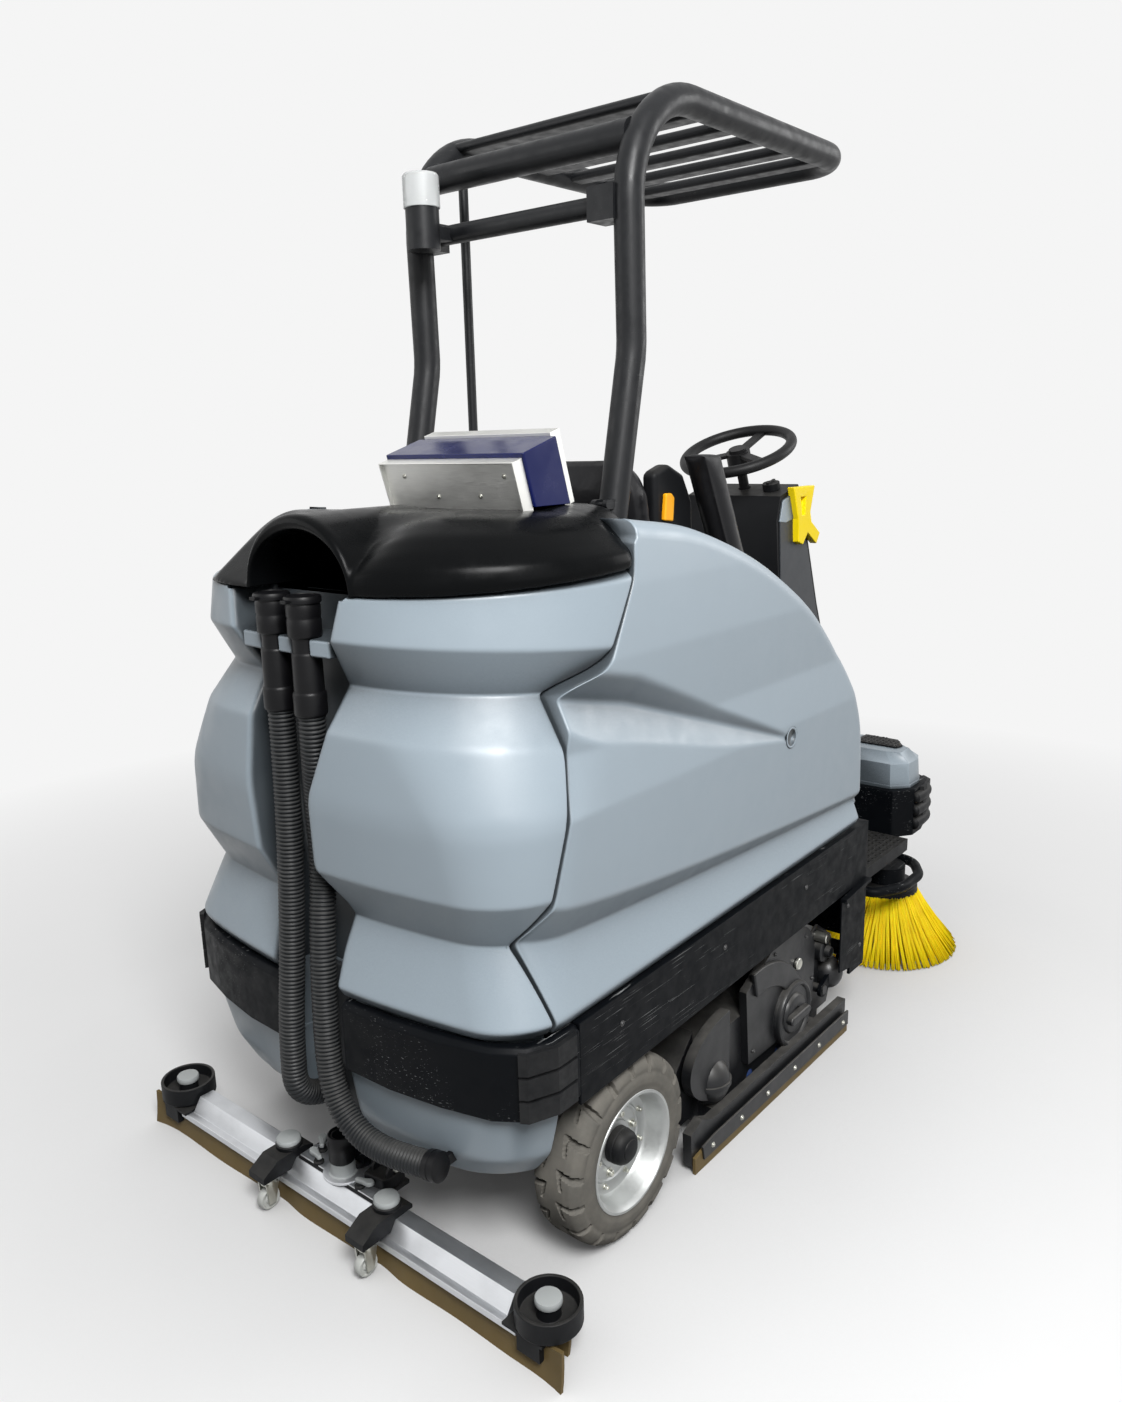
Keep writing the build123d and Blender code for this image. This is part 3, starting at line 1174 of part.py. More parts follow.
def caster_fork(x):
    """Swivelling caster fork with its stem."""
    y = CASTER_Y - CASTER_TRAIL
    fork = rod((x, CASTER_Y, 62), (x, CASTER_Y, 87), 9) + rod((x, CASTER_Y, 60), (x, CASTER_Y, 76), 17)
    for x0 in (x - 16, x + 12):
        fork += slab_x([(y - 8, 18), (y + 8, 18), (CASTER_Y + 14, 64), (CASTER_Y - 16, 64)], x0, x0 + 4)
    fork += span((x - 16, x + 16), (CASTER_Y - 14, CASTER_Y + 12), (58, 64))
    return fork + bar_x(x - 14, x + 14, y, CASTER_R, 4)


def caster_wheel(x):
    """Caster wheel."""
    y = CASTER_Y - CASTER_TRAIL
    bore = 4 + RUN_FIT
    return turned_x([(x - 11, bore), (x - 11, 20), (x - 8, CASTER_R), (x + 8, CASTER_R), (x + 11, 20),
                     (x + 11, bore)],
                    y, CASTER_R)


def deflector(side):
    """Wall roller at one end of the squeegee: a rim, a web and a hub."""
    low, high = DEFLECTOR_Z
    bore = 10 + RUN_FIT
    rim = DEFLECTOR_R - 9
    profile = [(bore, low + 4), (rim, low + 10), (rim, low), (DEFLECTOR_R, low + 2), (DEFLECTOR_R, high),
               (DEFLECTOR_R - 7, high), (rim, low + 16), (22, low + 12), (20, high - 2), (bore, high - 2)]
    return turned_z(profile, side * DEFLECTOR[0], DEFLECTOR[1])


def build():
    """All nodes by name, laid out about the rear axle."""
    casing, trays = equipment_box()
    tyre, rim = rear_wheel()
    right_panel = side_panel()
    nodes = {
        "chassis_frame": chassis_frame(),
        "side_rails": side_rails(),
        "rear_bumper": rear_bumper(),
        "corner_buffers": corner_buffers(),
        "fresh_water_tank": fresh_water_tank(),
        "waste_tank": waste_tank(),
        "side_panel_right": right_panel,
        "side_panel_left": left_of(right_panel),
        "tank_lid": tank_lid(),
        "box_casing": casing,
        "box_trays": trays,
        "hose_cuffs": hose_cuffs(),
        "drain_hose_left": drain_hose("left hose", HOSE_LEFT, (1, 0, 0)),
        "drain_hose_right": drain_hose("right hose", HOSE_RIGHT, (0, 1, 0)),
        "roof_frame": roof_frame(),
        "beacon_lens": beacon_lens(),
        "seat_console": seat_console(),
        "seat_base": seat_base(),
        "seat_cushion": seat_cushion(),
        "seat_backrest": seat_backrest(),
        "armrest": armrest(),
        "battery_pack": battery_pack(),
        "suction_turbine": suction_turbine(),
        "rear_tyre_right": tyre,
        "rear_rim_right": rim,
        "rear_tyre_left": left_of(tyre),
        "rear_rim_left": left_of(rim),
        "front_wheel": front_wheel(),
        "front_fork": front_fork(),
        "steering_wheel": steering_wheel(),
        "steering_tower": steering_tower(),
        "program_dial": program_dial(),
        "emergency_stop": emergency_stop(),
        "mop_hook": mop_hook(),
        "front_bumper": front_bumper(),
        "nose_cap": nose_cap(),
        "floor_plates": floor_plates(),
        "accelerator_pedal": pedal(PEDAL_X[0]),
        "brake_pedal": pedal(PEDAL_X[1]),
        "deck_arms": deck_arms(),
        "deck_housing": deck_housing(),
        "side_lips": side_lips(),
        "belt_cover": belt_cover(),
        "brush_roller_rear": brush_roller(ROLLER_Y[0]),
        "brush_roller_front": brush_roller(ROLLER_Y[1]),
        "broom_arm": broom_arm(),
        "broom_hub": broom_hub(),
        "broom_bristles": broom_bristles(),
        "squeegee_arm": squeegee_arm(),
        "squeegee_rail": squeegee_rail(),
        "squeegee_blades": squeegee_blades(),
        "squeegee_fittings": squeegee_fittings(),
    }
    for side, name in ((1, "right"), (-1, "left")):
        nodes["clamp_knob_" + name] = clamp_knob(side * CLAMP_X)
        nodes["caster_fork_" + name] = caster_fork(side * CLAMP_X)
        nodes["caster_wheel_" + name] = caster_wheel(side * CLAMP_X)
        nodes["deflector_" + name] = deflector(side)
    return nodes


def main():
    """Write one file per node, with the origin under the middle of the machine."""
    nodes = build()
    boxes = [shape.bounding_box() for shape in nodes.values()]
    rear = min(box.min.Y for box in boxes)
    front = max(box.max.Y for box in boxes)
    shift = -(rear + front) / 2
    print("length", round(front - rear, 1), "rear axle at Y", round(shift, 2))
    os.makedirs("parts", exist_ok=True)
    for name, shape in nodes.items():
        export_step(Pos(0, shift, 0) * shape, os.path.join("parts", name + ".step"))


main()
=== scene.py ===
import json
import math
from contextlib import contextmanager

import bmesh
import bpy
import numpy as np
from mathutils import Matrix, Vector


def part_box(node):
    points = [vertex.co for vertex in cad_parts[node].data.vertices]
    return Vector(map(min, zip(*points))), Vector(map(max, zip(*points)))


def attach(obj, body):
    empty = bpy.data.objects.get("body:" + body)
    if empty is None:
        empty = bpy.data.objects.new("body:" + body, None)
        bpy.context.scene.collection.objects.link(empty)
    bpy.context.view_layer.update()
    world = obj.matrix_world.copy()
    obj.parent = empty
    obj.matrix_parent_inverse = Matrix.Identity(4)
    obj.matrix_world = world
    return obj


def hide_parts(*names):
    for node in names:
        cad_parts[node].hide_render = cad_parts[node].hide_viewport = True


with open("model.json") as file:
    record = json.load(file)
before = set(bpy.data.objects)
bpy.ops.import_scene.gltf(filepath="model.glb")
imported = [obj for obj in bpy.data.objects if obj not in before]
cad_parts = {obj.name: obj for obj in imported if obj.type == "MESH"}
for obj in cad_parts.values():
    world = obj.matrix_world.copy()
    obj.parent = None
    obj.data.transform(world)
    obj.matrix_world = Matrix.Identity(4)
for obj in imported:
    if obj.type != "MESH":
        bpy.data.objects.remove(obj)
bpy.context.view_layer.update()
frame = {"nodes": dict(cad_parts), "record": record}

NODES = frame["nodes"]
BODY_OF = {node: body for body, nodes in frame["record"]["behaviour"]["bodies"].items() for node in nodes}
SIDES = (("right", 1), ("left", -1))

# Shapes are drawn in millimetres in the machine's own frame: X to the driver's right,
# Y forward from the rear axle, Z up from the floor.
MM = 0.001
tyre_low, tyre_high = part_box("rear_tyre_right")
AXLE_Y = (tyre_low.y + tyre_high.y) / 2


def row_frame(points):
    """Points in the machine's frame, millimetres, as row-frame metres."""
    return np.asarray(points, float) * MM + (0, AXLE_Y, 0)


def machine_frame(points):
    """Row-frame metres as millimetres in the machine's frame."""
    return (np.asarray(points, float) - (0, AXLE_Y, 0)) / MM


# Materials
def srgb(red, green, blue):
    """Colour written as 0 to 255 display values, as linear light."""
    return tuple(((c / 255 + 0.055) / 1.055) ** 2.4 if c > 10 else c / 255 / 12.92
                 for c in (red, green, blue))


def shade(colour, factor):
    return tuple(min(1.0, c * factor) for c in colour)


class Finish:
    """One procedural material, with short calls for the nodes that it needs."""

    def __init__(self, name, colour, roughness, metallic=0.0, gloss=0.5, **sockets):
        self.material = bpy.data.materials.new(name)
        self.material.use_nodes = True
        self.tree = self.material.node_tree
        self.shader = self.tree.nodes["Principled BSDF"]
        self.set("Base Color", (*colour, 1))
        self.set("Roughness", roughness)
        self.set("Metallic", metallic)
        self.set("Specular IOR Level", gloss)
        for socket, value in sockets.items():
            self.set(socket.replace("_", " "), value)
        self.place = self.node("ShaderNodeTexCoord").outputs["Object"]

    def feed(self, socket, value):
        """Links a node's output to a socket, or sets the socket's own value."""
        if isinstance(value, bpy.types.NodeSocket):
            self.tree.links.new(value, socket)
        else:
            socket.default_value = value

    def set(self, socket, value):
        self.feed(self.shader.inputs[socket], value)

    def node(self, kind, inputs=(), **settings):
        made = self.tree.nodes.new(kind)
        for key, value in settings.items():
            setattr(made, key, value)
        for socket, value in dict(inputs).items():
            self.feed(made.inputs[socket], value)
        return made

    def noise(self, scale, detail=4.0, stretch=None, rough=0.55):
        place = self.place
        if stretch:
            place = self.node("ShaderNodeMapping", {"Vector": place, "Scale": stretch}).outputs["Vector"]
        inputs = {"Vector": place, "Scale": scale, "Detail": detail, "Roughness": rough}
        return self.node("ShaderNodeTexNoise", inputs).outputs["Fac"]

    def cells(self, scale):
        return self.node("ShaderNodeTexVoronoi", {"Vector": self.place, "Scale": scale}).outputs["Distance"]

    def remap(self, value, low, high, start=0.0, end=1.0):
        inputs = {"Value": value, "From Min": low, "From Max": high, "To Min": start, "To Max": end}
        return self.node("ShaderNodeMapRange", inputs).outputs["Result"]

    def maths(self, operation, a, b):
        return self.node("ShaderNodeMath", {0: a, 1: b}, operation=operation).outputs[0]

    def mix(self, factor, a, b):
        made = self.node("ShaderNodeMix", data_type="RGBA")
        for socket, value in ((0, factor), (6, a), (7, b)):
            self.feed(made.inputs[socket], (*value, 1) if isinstance(value, tuple) else value)
        return made.outputs[2]

    def uneven(self, patches, low, high):
        """Roughness that wanders between two values with the patches."""
        self.set("Roughness", self.remap(patches, 0.3, 0.7, low, high))

    def bump(self, height, strength, distance):
        inputs = {"Height": height, "Strength": strength, "Distance": distance}
        self.set("Normal", self.node("ShaderNodeBump", inputs).outputs["Normal"])

    def facing_up(self):
        """1 on faces that look up, 0 on upright ones."""
        normal = self.node("ShaderNodeNewGeometry").outputs["Normal"]
        return self.node("ShaderNodeSeparateXYZ", {"Vector": normal}).outputs["Z"]

    def openness(self, reach, samples):
        """1 in the open, less in creases and close to other faces."""
        return self.node("ShaderNodeAmbientOcclusion", {"Distance": reach}, samples=samples).outputs["AO"]


DUST = srgb(190, 186, 178)
# Painted shade in creases: how far the occlusion looks, and how dark the shaded colour gets
CREASE_SHADE_REACH, CREASE_SHADE_DARKNESS = 0.32, 0.12


def moulded(name, colour, roughness, grain=0.05, mottle=0.08, dust=0.0, painted_crease_shade=0.0, gloss=0.5):
    """Moulded plastic: faint mottling, fine grain, a little dust on top faces and painted shade that darkens
    its creases and the faces close to other faces.
    """
    made = Finish(name, colour, roughness, gloss=gloss)
    tint = made.mix(made.noise(7.0, 5.0), shade(colour, 1 - mottle), shade(colour, 1 + mottle))
    if dust:
        settled = made.maths("MULTIPLY", made.remap(made.facing_up(), 0.3, 1.0, 0.0, dust), made.noise(30.0))
        tint = made.mix(settled, tint, DUST)
    if painted_crease_shade:
        # painted shade: darker where the occlusion finds creases and nearby faces
        crease_shaded = made.remap(made.openness(CREASE_SHADE_REACH, 8), 0.6, 1.0, painted_crease_shade, 0.0)
        tint = made.mix(crease_shaded, tint, shade(colour, CREASE_SHADE_DARKNESS))
    made.set("Base Color", tint)
    made.uneven(made.noise(22.0, 6.0), roughness - 0.06, roughness + 0.09)
    made.bump(made.noise(520.0, 3.0), grain, 0.0006)
    return made.material


def scratched_paint(name, colour, bare, roughness, wear, gloss):
    """Painted steel with scuffs and thin scratches along the machine."""
    made = Finish(name, colour, roughness, gloss=gloss)
    lines = made.remap(made.noise(9.0, 6.0, (14, 0.55, 60)), 0.645, 0.675)
    zones = made.remap(made.noise(5.0, 3.0), 0.44, 0.58, 0.0, wear)
    spots = made.remap(made.noise(60.0, 6.0, (1, 0.35, 1.6), 0.7), 0.69, 0.76)
    scratches, scuffs = (made.maths("MULTIPLY", marks, zones) for marks in (lines, spots))
    base = made.mix(made.noise(12.0), shade(colour, 0.8), shade(colour, 1.25))
    made.set("Base Color", made.mix(made.maths("MAXIMUM", scratches, scuffs), base, bare))
    made.uneven(made.noise(35.0, 5.0), roughness - 0.08, roughness + 0.15)
    made.bump(made.noise(260.0, 4.0), 0.08, 0.0008)
    return made.material


def brushed_metal(name, colour, roughness, along, bump, stain):
    """Metal with a drawn grain and patchy stains."""
    made = Finish(name, colour, roughness, 1.0)
    grain = made.noise(40.0, 5.0, along, 0.7)
    stains = made.remap(made.noise(11.0, 6.0), 0.45, 0.72, 0.0, stain)
    tint = made.mix(grain, shade(colour, 0.82), shade(colour, 1.1))
    made.set("Base Color", made.mix(stains, tint, shade(colour, 0.45)))
    made.set("Roughness", made.remap(grain, 0.25, 0.75, roughness - 0.08, roughness + 0.14))
    made.bump(grain, bump, 0.0005)
    return made.material


def rubber(name, colour, dust_colour, dust, roughness):
    """Rubber with settled dust."""
    made = Finish(name, colour, roughness, gloss=0.2)
    film = made.remap(made.noise(18.0, 7.0, rough=0.65), 0.35, 0.7, 0.0, dust)
    made.set("Base Color", made.mix(film, colour, dust_colour))
    made.uneven(made.noise(70.0), roughness - 0.1, roughness + 0.12)
    made.bump(made.noise(300.0, 5.0), 0.15, 0.0008)
    return made.material


def vinyl(name, colour):
    """Seat cover with a leather-like grain."""
    made = Finish(name, colour, 0.5, gloss=0.25)
    made.set("Base Color", made.mix(made.noise(15.0), shade(colour, 0.8), shade(colour, 1.3)))
    made.uneven(made.noise(40.0), 0.42, 0.6)
    made.bump(made.cells(420.0), 0.25, 0.0006)
    return made.material


def fibres(name, colours, roughness):
    """Plastic fibres, each strand with its own shade."""
    made = Finish(name, colours[0], roughness, gloss=0.2, Subsurface_Weight=0.25)
    strand = made.node("ShaderNodeNewGeometry").outputs["Random Per Island"]
    tint = made.mix(strand, colours[0], colours[1])
    patches = made.remap(made.noise(25.0, 3.0), 0.5, 0.75, 0.0, 0.5)
    made.set("Base Color", made.mix(patches, tint, colours[2]))
    made.bump(made.noise(400.0), 0.1, 0.0005)
    return made.material


def clear_plastic(name, colour):
    """Clear plastic, slightly clouded."""
    made = Finish(name, colour, 0.18, Transmission_Weight=0.55, IOR=1.49)
    made.uneven(made.noise(50.0), 0.12, 0.3)
    made.bump(made.noise(200.0), 0.05, 0.0005)
    return made.material


# Plastics: roughness, grain, mottle, dust and painted crease shade, in this order
BODY_GREY = srgb(147, 159, 168)
# The two body mouldings differ in how much painted crease shade they carry: strong on the tank and panels,
# little on the lower tank
GREY_BODY = moulded("grey_moulding", BODY_GREY, 0.36, 0.04, 0.03, 0.0, 0.95)
GREY_LOW = moulded("grey_lower", BODY_GREY, 0.36, 0.04, 0.05, 0.0, 0.2)
LID_BLACK = moulded("lid_black", srgb(7, 8, 9), 0.26, 0.05, 0.12, gloss=0.07)
SOFT_BLACK = moulded("soft_black", srgb(17, 18, 20), 0.5, 0.1, 0.15, 0.08, gloss=0.15)
HOSE_GREY = moulded("hose_grey", srgb(32, 34, 36), 0.45, 0.06, 0.2, 0.15, gloss=0.2)
CUFF_BLACK = moulded("cuff_black", srgb(11, 11, 13), 0.4, 0.08, 0.12, gloss=0.2)
BOX_BLUE = moulded("box_blue", srgb(6, 17, 72), 0.2, 0.02, 0.08, gloss=0.3)
AMBER = moulded("amber_rubber", srgb(104, 88, 56), 0.55, 0.1, 0.25, gloss=0.25)
YELLOW = moulded("yellow_plastic", srgb(252, 222, 8), 0.45, 0.05, 0.04, gloss=0.3)
GRIP = moulded("grip_black", srgb(18, 18, 19), 0.5, 0.12, 0.1, gloss=0.25)
RED = moulded("stop_red", srgb(190, 24, 18), 0.3, 0.03, 0.05)
PALE_GREY = moulded("pale_grey", srgb(156, 160, 160), 0.4, 0.06, 0.12, 0.1)
CASTER_WHITE = moulded("caster_grey", srgb(176, 178, 174), 0.3, 0.04, 0.06)
BATTERY = moulded("battery_grey", srgb(48, 49, 52), 0.5)
DARK_GREY = moulded("dark_grey", srgb(52, 54, 56), 0.5, 0.08, 0.1, gloss=0.25)
DECK_GREY = moulded("deck_grey", srgb(20, 21, 23), 0.38, 0.12, 0.35, 0.22, gloss=0.4)
TOWER_DARK = moulded("tower_dark", srgb(44, 47, 51), 0.4, 0.06, 0.1, gloss=0.35)
ORANGE = moulded("orange_plastic", srgb(244, 168, 12), 0.4, 0.05, 0.06)
LENS = clear_plastic("clear_lens", srgb(238, 240, 240))

# Paints: colour, bare metal, roughness and wear
PAINT_BLACK = scratched_paint("frame_black", srgb(8, 10, 13), srgb(150, 152, 152), 0.45, 0.8, gloss=0.07)
ROOF_BLACK = scratched_paint("roof_black", srgb(24, 25, 27), srgb(150, 150, 150), 0.38, 0.12, gloss=0.25)

# Metals: roughness, stretch of the grain, bump and stain
STAINLESS = brushed_metal("stainless", srgb(234, 234, 230), 0.42, (1, 24, 24), 0.06, 0.12)
RIM_SILVER = brushed_metal("rim_silver", srgb(176, 178, 177), 0.45, (4, 4, 4), 0.05, 0.3)
ALUMINIUM = brushed_metal("squeegee_aluminium", srgb(206, 208, 211), 0.42, (0.6, 30, 30), 0.12, 0.3)
ZINC = brushed_metal("zinc", srgb(190, 190, 182), 0.36, (10, 10, 1), 0.08, 0.3)
DARK_STEEL = brushed_metal("dark_steel", srgb(92, 92, 92), 0.45, (8, 8, 8), 0.06, 0.3)

# Rubber, seat cover and bristles
BUFFER_RUBBER = rubber("buffer_rubber", srgb(12, 13, 15), srgb(70, 70, 70), 0.2, 0.6)
TYRE = rubber("tyre_rubber", srgb(98, 96, 91), srgb(124, 120, 112), 0.6, 0.85)
VINYL = vinyl("seat_vinyl", srgb(20, 20, 22))
BROOM_YELLOW = fibres("broom_yellow", [srgb(255, 222, 18), srgb(250, 206, 8), srgb(226, 176, 8)], 0.6)
BRUSH_BLUE = fibres("brush_fibre", [srgb(60, 84, 140), srgb(52, 70, 120), srgb(80, 96, 140)], 0.5)


# Objects and meshes
def linked(name, data):
    """New object in the scene."""
    obj = bpy.data.objects.new(name, data)
    bpy.context.scene.collection.objects.link(obj)
    return obj


@contextmanager
def reworked(mesh):
    """A mesh opened for editing and written back at the end."""
    work = bmesh.new()
    work.from_mesh(mesh)
    yield work
    work.to_mesh(mesh)
    work.free()


def make_object(name, points, faces):
    """New mesh object from machine-frame points, with its faces turned outwards."""
    mesh = bpy.data.meshes.new(name)
    mesh.from_pydata(row_frame(points).tolist(), [], [list(face) for face in faces])
    mesh.validate()
    with reworked(mesh) as work:
        bmesh.ops.recalc_face_normals(work, faces=work.faces)
    return linked(name, mesh)


def adopt(obj, material, like, nodes=(), slot=None, smooth=True, sharp=None):
    """Gives a piece its material, body, the nodes that it stands for and the angle of sharp edges; its slot
    argument is not used.
    """
    obj.data.materials.clear()
    obj.data.materials.append(material)
    if smooth:
        obj.data.shade_smooth()
    if sharp:
        obj.data.set_sharp_from_angle(angle=math.radians(sharp))
    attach(obj, BODY_OF[like])
    if nodes:
        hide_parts(*nodes)
    return obj


def piece(name, points, faces, material, like, nodes=(), **settings):
    """New mesh piece from machine-frame points. It rides like a CAD node."""
    return adopt(make_object(name, points, faces), material, like, nodes, **settings)


def modifier(obj, kind, **settings):
    made = obj.modifiers.new(kind.lower(), kind)
    for key, value in settings.items():
        setattr(made, key, value)


def bevel(obj, width, segments, degrees):
    modifier(obj, "BEVEL", width=width * MM, segments=segments, limit_method="ANGLE",
             angle_limit=math.radians(degrees), harden_normals=True)


def settled_mesh(obj):
    """The piece's mesh with its modifiers worked in."""
    bpy.context.view_layer.update()
    shown = obj.evaluated_get(bpy.context.evaluated_depsgraph_get())
    mesh = bpy.data.meshes.new_from_object(shown)
    obj.modifiers.clear()
    obj.data = mesh
    return mesh


WELD, FLAT_ANGLE, ROUND_ANGLE = 0.00002, 1.5, 32


def rounded(node, material, width):
    """A node's own shape with softened edges, in a piece that stands for it."""
    mesh = NODES[node].data.copy()
    mesh.name = node + "_finish"
    with reworked(mesh) as work:
        bmesh.ops.remove_doubles(work, verts=work.verts, dist=WELD)
        bmesh.ops.dissolve_limit(work, angle_limit=math.radians(FLAT_ANGLE), verts=work.verts,
                                 edges=work.edges)
    obj = adopt(linked(node + "_finish", mesh), material, node, (node,), sharp=ROUND_ANGLE)
    bevel(obj, width, 2, ROUND_ANGLE)


def dress(node, material):
    """Material for a CAD node that shows as it is."""
    mesh = NODES[node].data
    mesh.materials.clear()
    mesh.materials.append(material)


# Lines and values along them
def ramp(value, start, length):
    """0 up to start, then rising to 1 over a length."""
    return np.clip((value - start) / length, 0, 1)


def between(ends, share):
    """Value part of the way from one end to the other."""
    return ends[0] + (ends[1] - ends[0]) * share


def eased(z, heights, values, shifts):
    """Value at a height, averaged over nearby heights so that its corners are round."""
    return np.mean([np.interp(z + shift, heights, values) for shift in shifts], axis=0)


def turns(count, phase=0):
    """Angles of a full turn in equal steps."""
    return (np.arange(count) + phase) * 2 * math.pi / count


def straight(a, b, count):
    t = np.linspace(0, 1, count)[:, None]
    return np.asarray(a, float) * (1 - t) + np.asarray(b, float) * t


def bend(a, b, c, reach, count=6):
    """Rounded corner at b between a and c."""
    a, b, c = (np.asarray(p, float) for p in (a, b, c))
    start = b + (a - b) / np.linalg.norm(a - b) * reach
    end = b + (c - b) / np.linalg.norm(c - b) * reach
    t = np.linspace(0, 1, count)[:, None]
    return (1 - t) ** 2 * start + 2 * t * (1 - t) * b + t ** 2 * end


def run_along(points):
    """Distance along a line at each of its points."""
    return np.concatenate([[0], np.cumsum(np.linalg.norm(np.diff(points, axis=0), axis=1))])


def sampled(places, run, points):
    """Points of a line at given distances along it."""
    return np.stack([np.interp(places, run, column) for column in points.T], axis=1)


def evenly(curve, count):
    run = run_along(curve)
    return sampled(np.linspace(0, run[-1], count), run, curve)


def through(points, count):
    """Smooth curve through points, evenly spaced."""
    p = np.concatenate([[2 * points[0] - points[1]], points, [2 * points[-1] - points[-2]]])
    t = np.linspace(0, 1, 24, endpoint=False)[:, None]
    parts = [0.5 * (2 * b + (c - a) * t + (2 * a - 5 * b + 4 * c - d) * t ** 2
                    + (3 * b - a - 3 * c + d) * t ** 3)
             for a, b, c, d in zip(p, p[1:], p[2:], p[3:])]
    return evenly(np.concatenate(parts + [points[-1:]]), count)


def spun(outline, x, y, turn, scale=1.0):
    """Outline turned about its origin, scaled and moved to a place."""
    c, s = math.cos(turn), math.sin(turn)
    return [(x + scale * (a * c - b * s), y + scale * (a * s + b * c)) for a, b in outline]


# Shapes as points and faces
def grid_faces(rows, columns, wrap=False):
    """Quads of a grid of points stored row by row."""
    across = columns if wrap else columns - 1
    return [(r * columns + c, r * columns + (c + 1) % columns,
             (r + 1) * columns + (c + 1) % columns, (r + 1) * columns + c)
            for r in range(rows - 1) for c in range(across)]


def tube_faces(rows, columns):
    """Faces of rings stored in order, with both ends closed."""
    last = (rows - 1) * columns
    return grid_faces(rows, columns, wrap=True) + [tuple(range(columns)), tuple(range(last, last + columns))]


def merged(parts):
    """Several (points, faces) shapes as one."""
    points, faces, base = [], [], 0
    for some, sides in parts:
        points.append(np.asarray(some, float))
        faces += [tuple(base + k for k in face) for face in sides]
        base += len(some)
    return np.concatenate(points), faces


def lathe(profile, axis, centre, steps):
    """A (radius, height) profile turned about an axis through centre."""
    points = []
    for r, h in profile:
        for a in turns(steps):
            u, v = r * math.cos(a), r * math.sin(a)
            points.append(np.add({"X": (h, u, v), "Y": (u, h, v), "Z": (u, v, h)}[axis], centre))
    faces = grid_faces(len(profile), steps, wrap=True)
    for end, first in ((0, 0), (-1, (len(profile) - 1) * steps)):
        if profile[end][0] > 0.01:
            faces.append(tuple(range(first, first + steps)))
    return np.array(points), faces


def sweep(path, radii, side=24):
    """Rings of given radii along a path, in the path's own units."""
    path = np.asarray(path, float)
    ahead = np.gradient(path, axis=0)
    ahead /= np.linalg.norm(ahead, axis=1)[:, None]
    across = np.array((1.0, 0.0, 0.0))
    points = []
    for place, forward, radius in zip(path, ahead, radii):
        across = across - forward * np.dot(across, forward)
        across /= np.linalg.norm(across)
        other = np.cross(forward, across)
        points += [place + radius * (math.cos(a) * across + math.sin(a) * other) for a in turns(side)]
    return points, tube_faces(len(path), side)


def ring_stack(rings, out, start, side):
    """Rings of (centre, radius) across one direction, joined in order."""
    across = np.asarray(start, float) - out * np.dot(start, out)
    across /= np.linalg.norm(across)
    other = np.cross(out, across)
    points = [c + r * (math.cos(a) * across + math.sin(a) * other) for c, r in rings for a in turns(side)]
    return points, tube_faces(len(rings), side)


def turned(name, profile, axis, centre, material, like, nodes=(), steps=48, sharp=40):
    """Turned piece of a (radius, height) profile."""
    piece(name, *lathe(profile, axis, centre, steps), material, like, nodes, sharp=sharp)


def bolts(name, places, out, radius, height, material, like):
    """Screw heads on washers, all standing out the same way."""
    out = np.asarray(out, float) / np.linalg.norm(out)
    start = (1, 0, 0) if abs(out[0]) < 0.9 else (0, 1, 0)
    profile = ((1.5, -1.5), (1.5, 1.0), (1.45, 1.3), (1.0, 1.4), (1.0, height - 1), (0.85, height),
               (0.5, height + 0.1), (0.45, height - 1.6), (0.01, height - 1.7))
    parts = [ring_stack([(place + out * h, r * radius) for r, h in profile], out, start, 18)
             for place in np.asarray(places, float)]
    piece(name, *merged(parts), material, like, sharp=35)


def solid_outline(name, outline, low, high, material, like, width=3.0, slot=None, axis="Z"):
    """Plate of an outline between two heights along an axis, with rounded edges."""
    order = {"X": (2, 0, 1), "Y": (0, 2, 1), "Z": (0, 1, 2)}[axis]
    points = [[(a, b, h)[k] for k in order] for h in sorted((low, high)) for a, b in outline]
    made = piece(name, points, tube_faces(2, len(outline)), material, like, slot=slot, sharp=30)
    bevel(made, width, 3, 40)


# Body outline: rear bow, rounded corners and straight sides
BODY_HALF, BODY_REAR, BOW_R = 507.0, -375.0, 1980.0
BOW_POINTS, CORNER_POINTS, SIDE_POINTS = 40, 60, 120
TANK_FRONT = 185.0
PANEL_IN, SEAM_GAP = 345.0, 6.5


def plan_line(inset, corner, front):
    """Right half of the body's plan outline, from the middle of the rear to the front of the side."""
    half, rear = BODY_HALF - inset, BODY_REAR + inset
    bow = rear + BOW_R
    corner_x = half - corner
    corner_y = bow - math.sqrt((BOW_R - corner) ** 2 - corner_x ** 2)
    meet = math.asin(corner_x / (BOW_R - corner))
    a = np.linspace(0, meet, BOW_POINTS)
    b = np.linspace(meet, math.pi / 2, CORNER_POINTS)[1:]
    side = np.linspace(corner_y, front, SIDE_POINTS)[1:]
    x = np.concatenate([BOW_R * np.sin(a), corner_x + corner * np.sin(b), np.full(len(side), half)])
    y = np.concatenate([bow - BOW_R * np.cos(a), corner_y - corner * np.cos(b), side])
    return x, y


def side_x(inset, corner, y):
    """Half width of the body's plan outline at one place along it."""
    half = BODY_HALF - inset
    corner_x = half - corner
    corner_y = BODY_REAR + inset + BOW_R - np.sqrt((BOW_R - corner) ** 2 - corner_x ** 2)
    behind = np.minimum(np.maximum(0.0, corner_y - y), corner)
    return corner_x + np.sqrt(corner ** 2 - behind ** 2)


CREASE_STEP, CREASE_ROWS, PLAIN_ROWS = 1.0, 2.5, 12.0


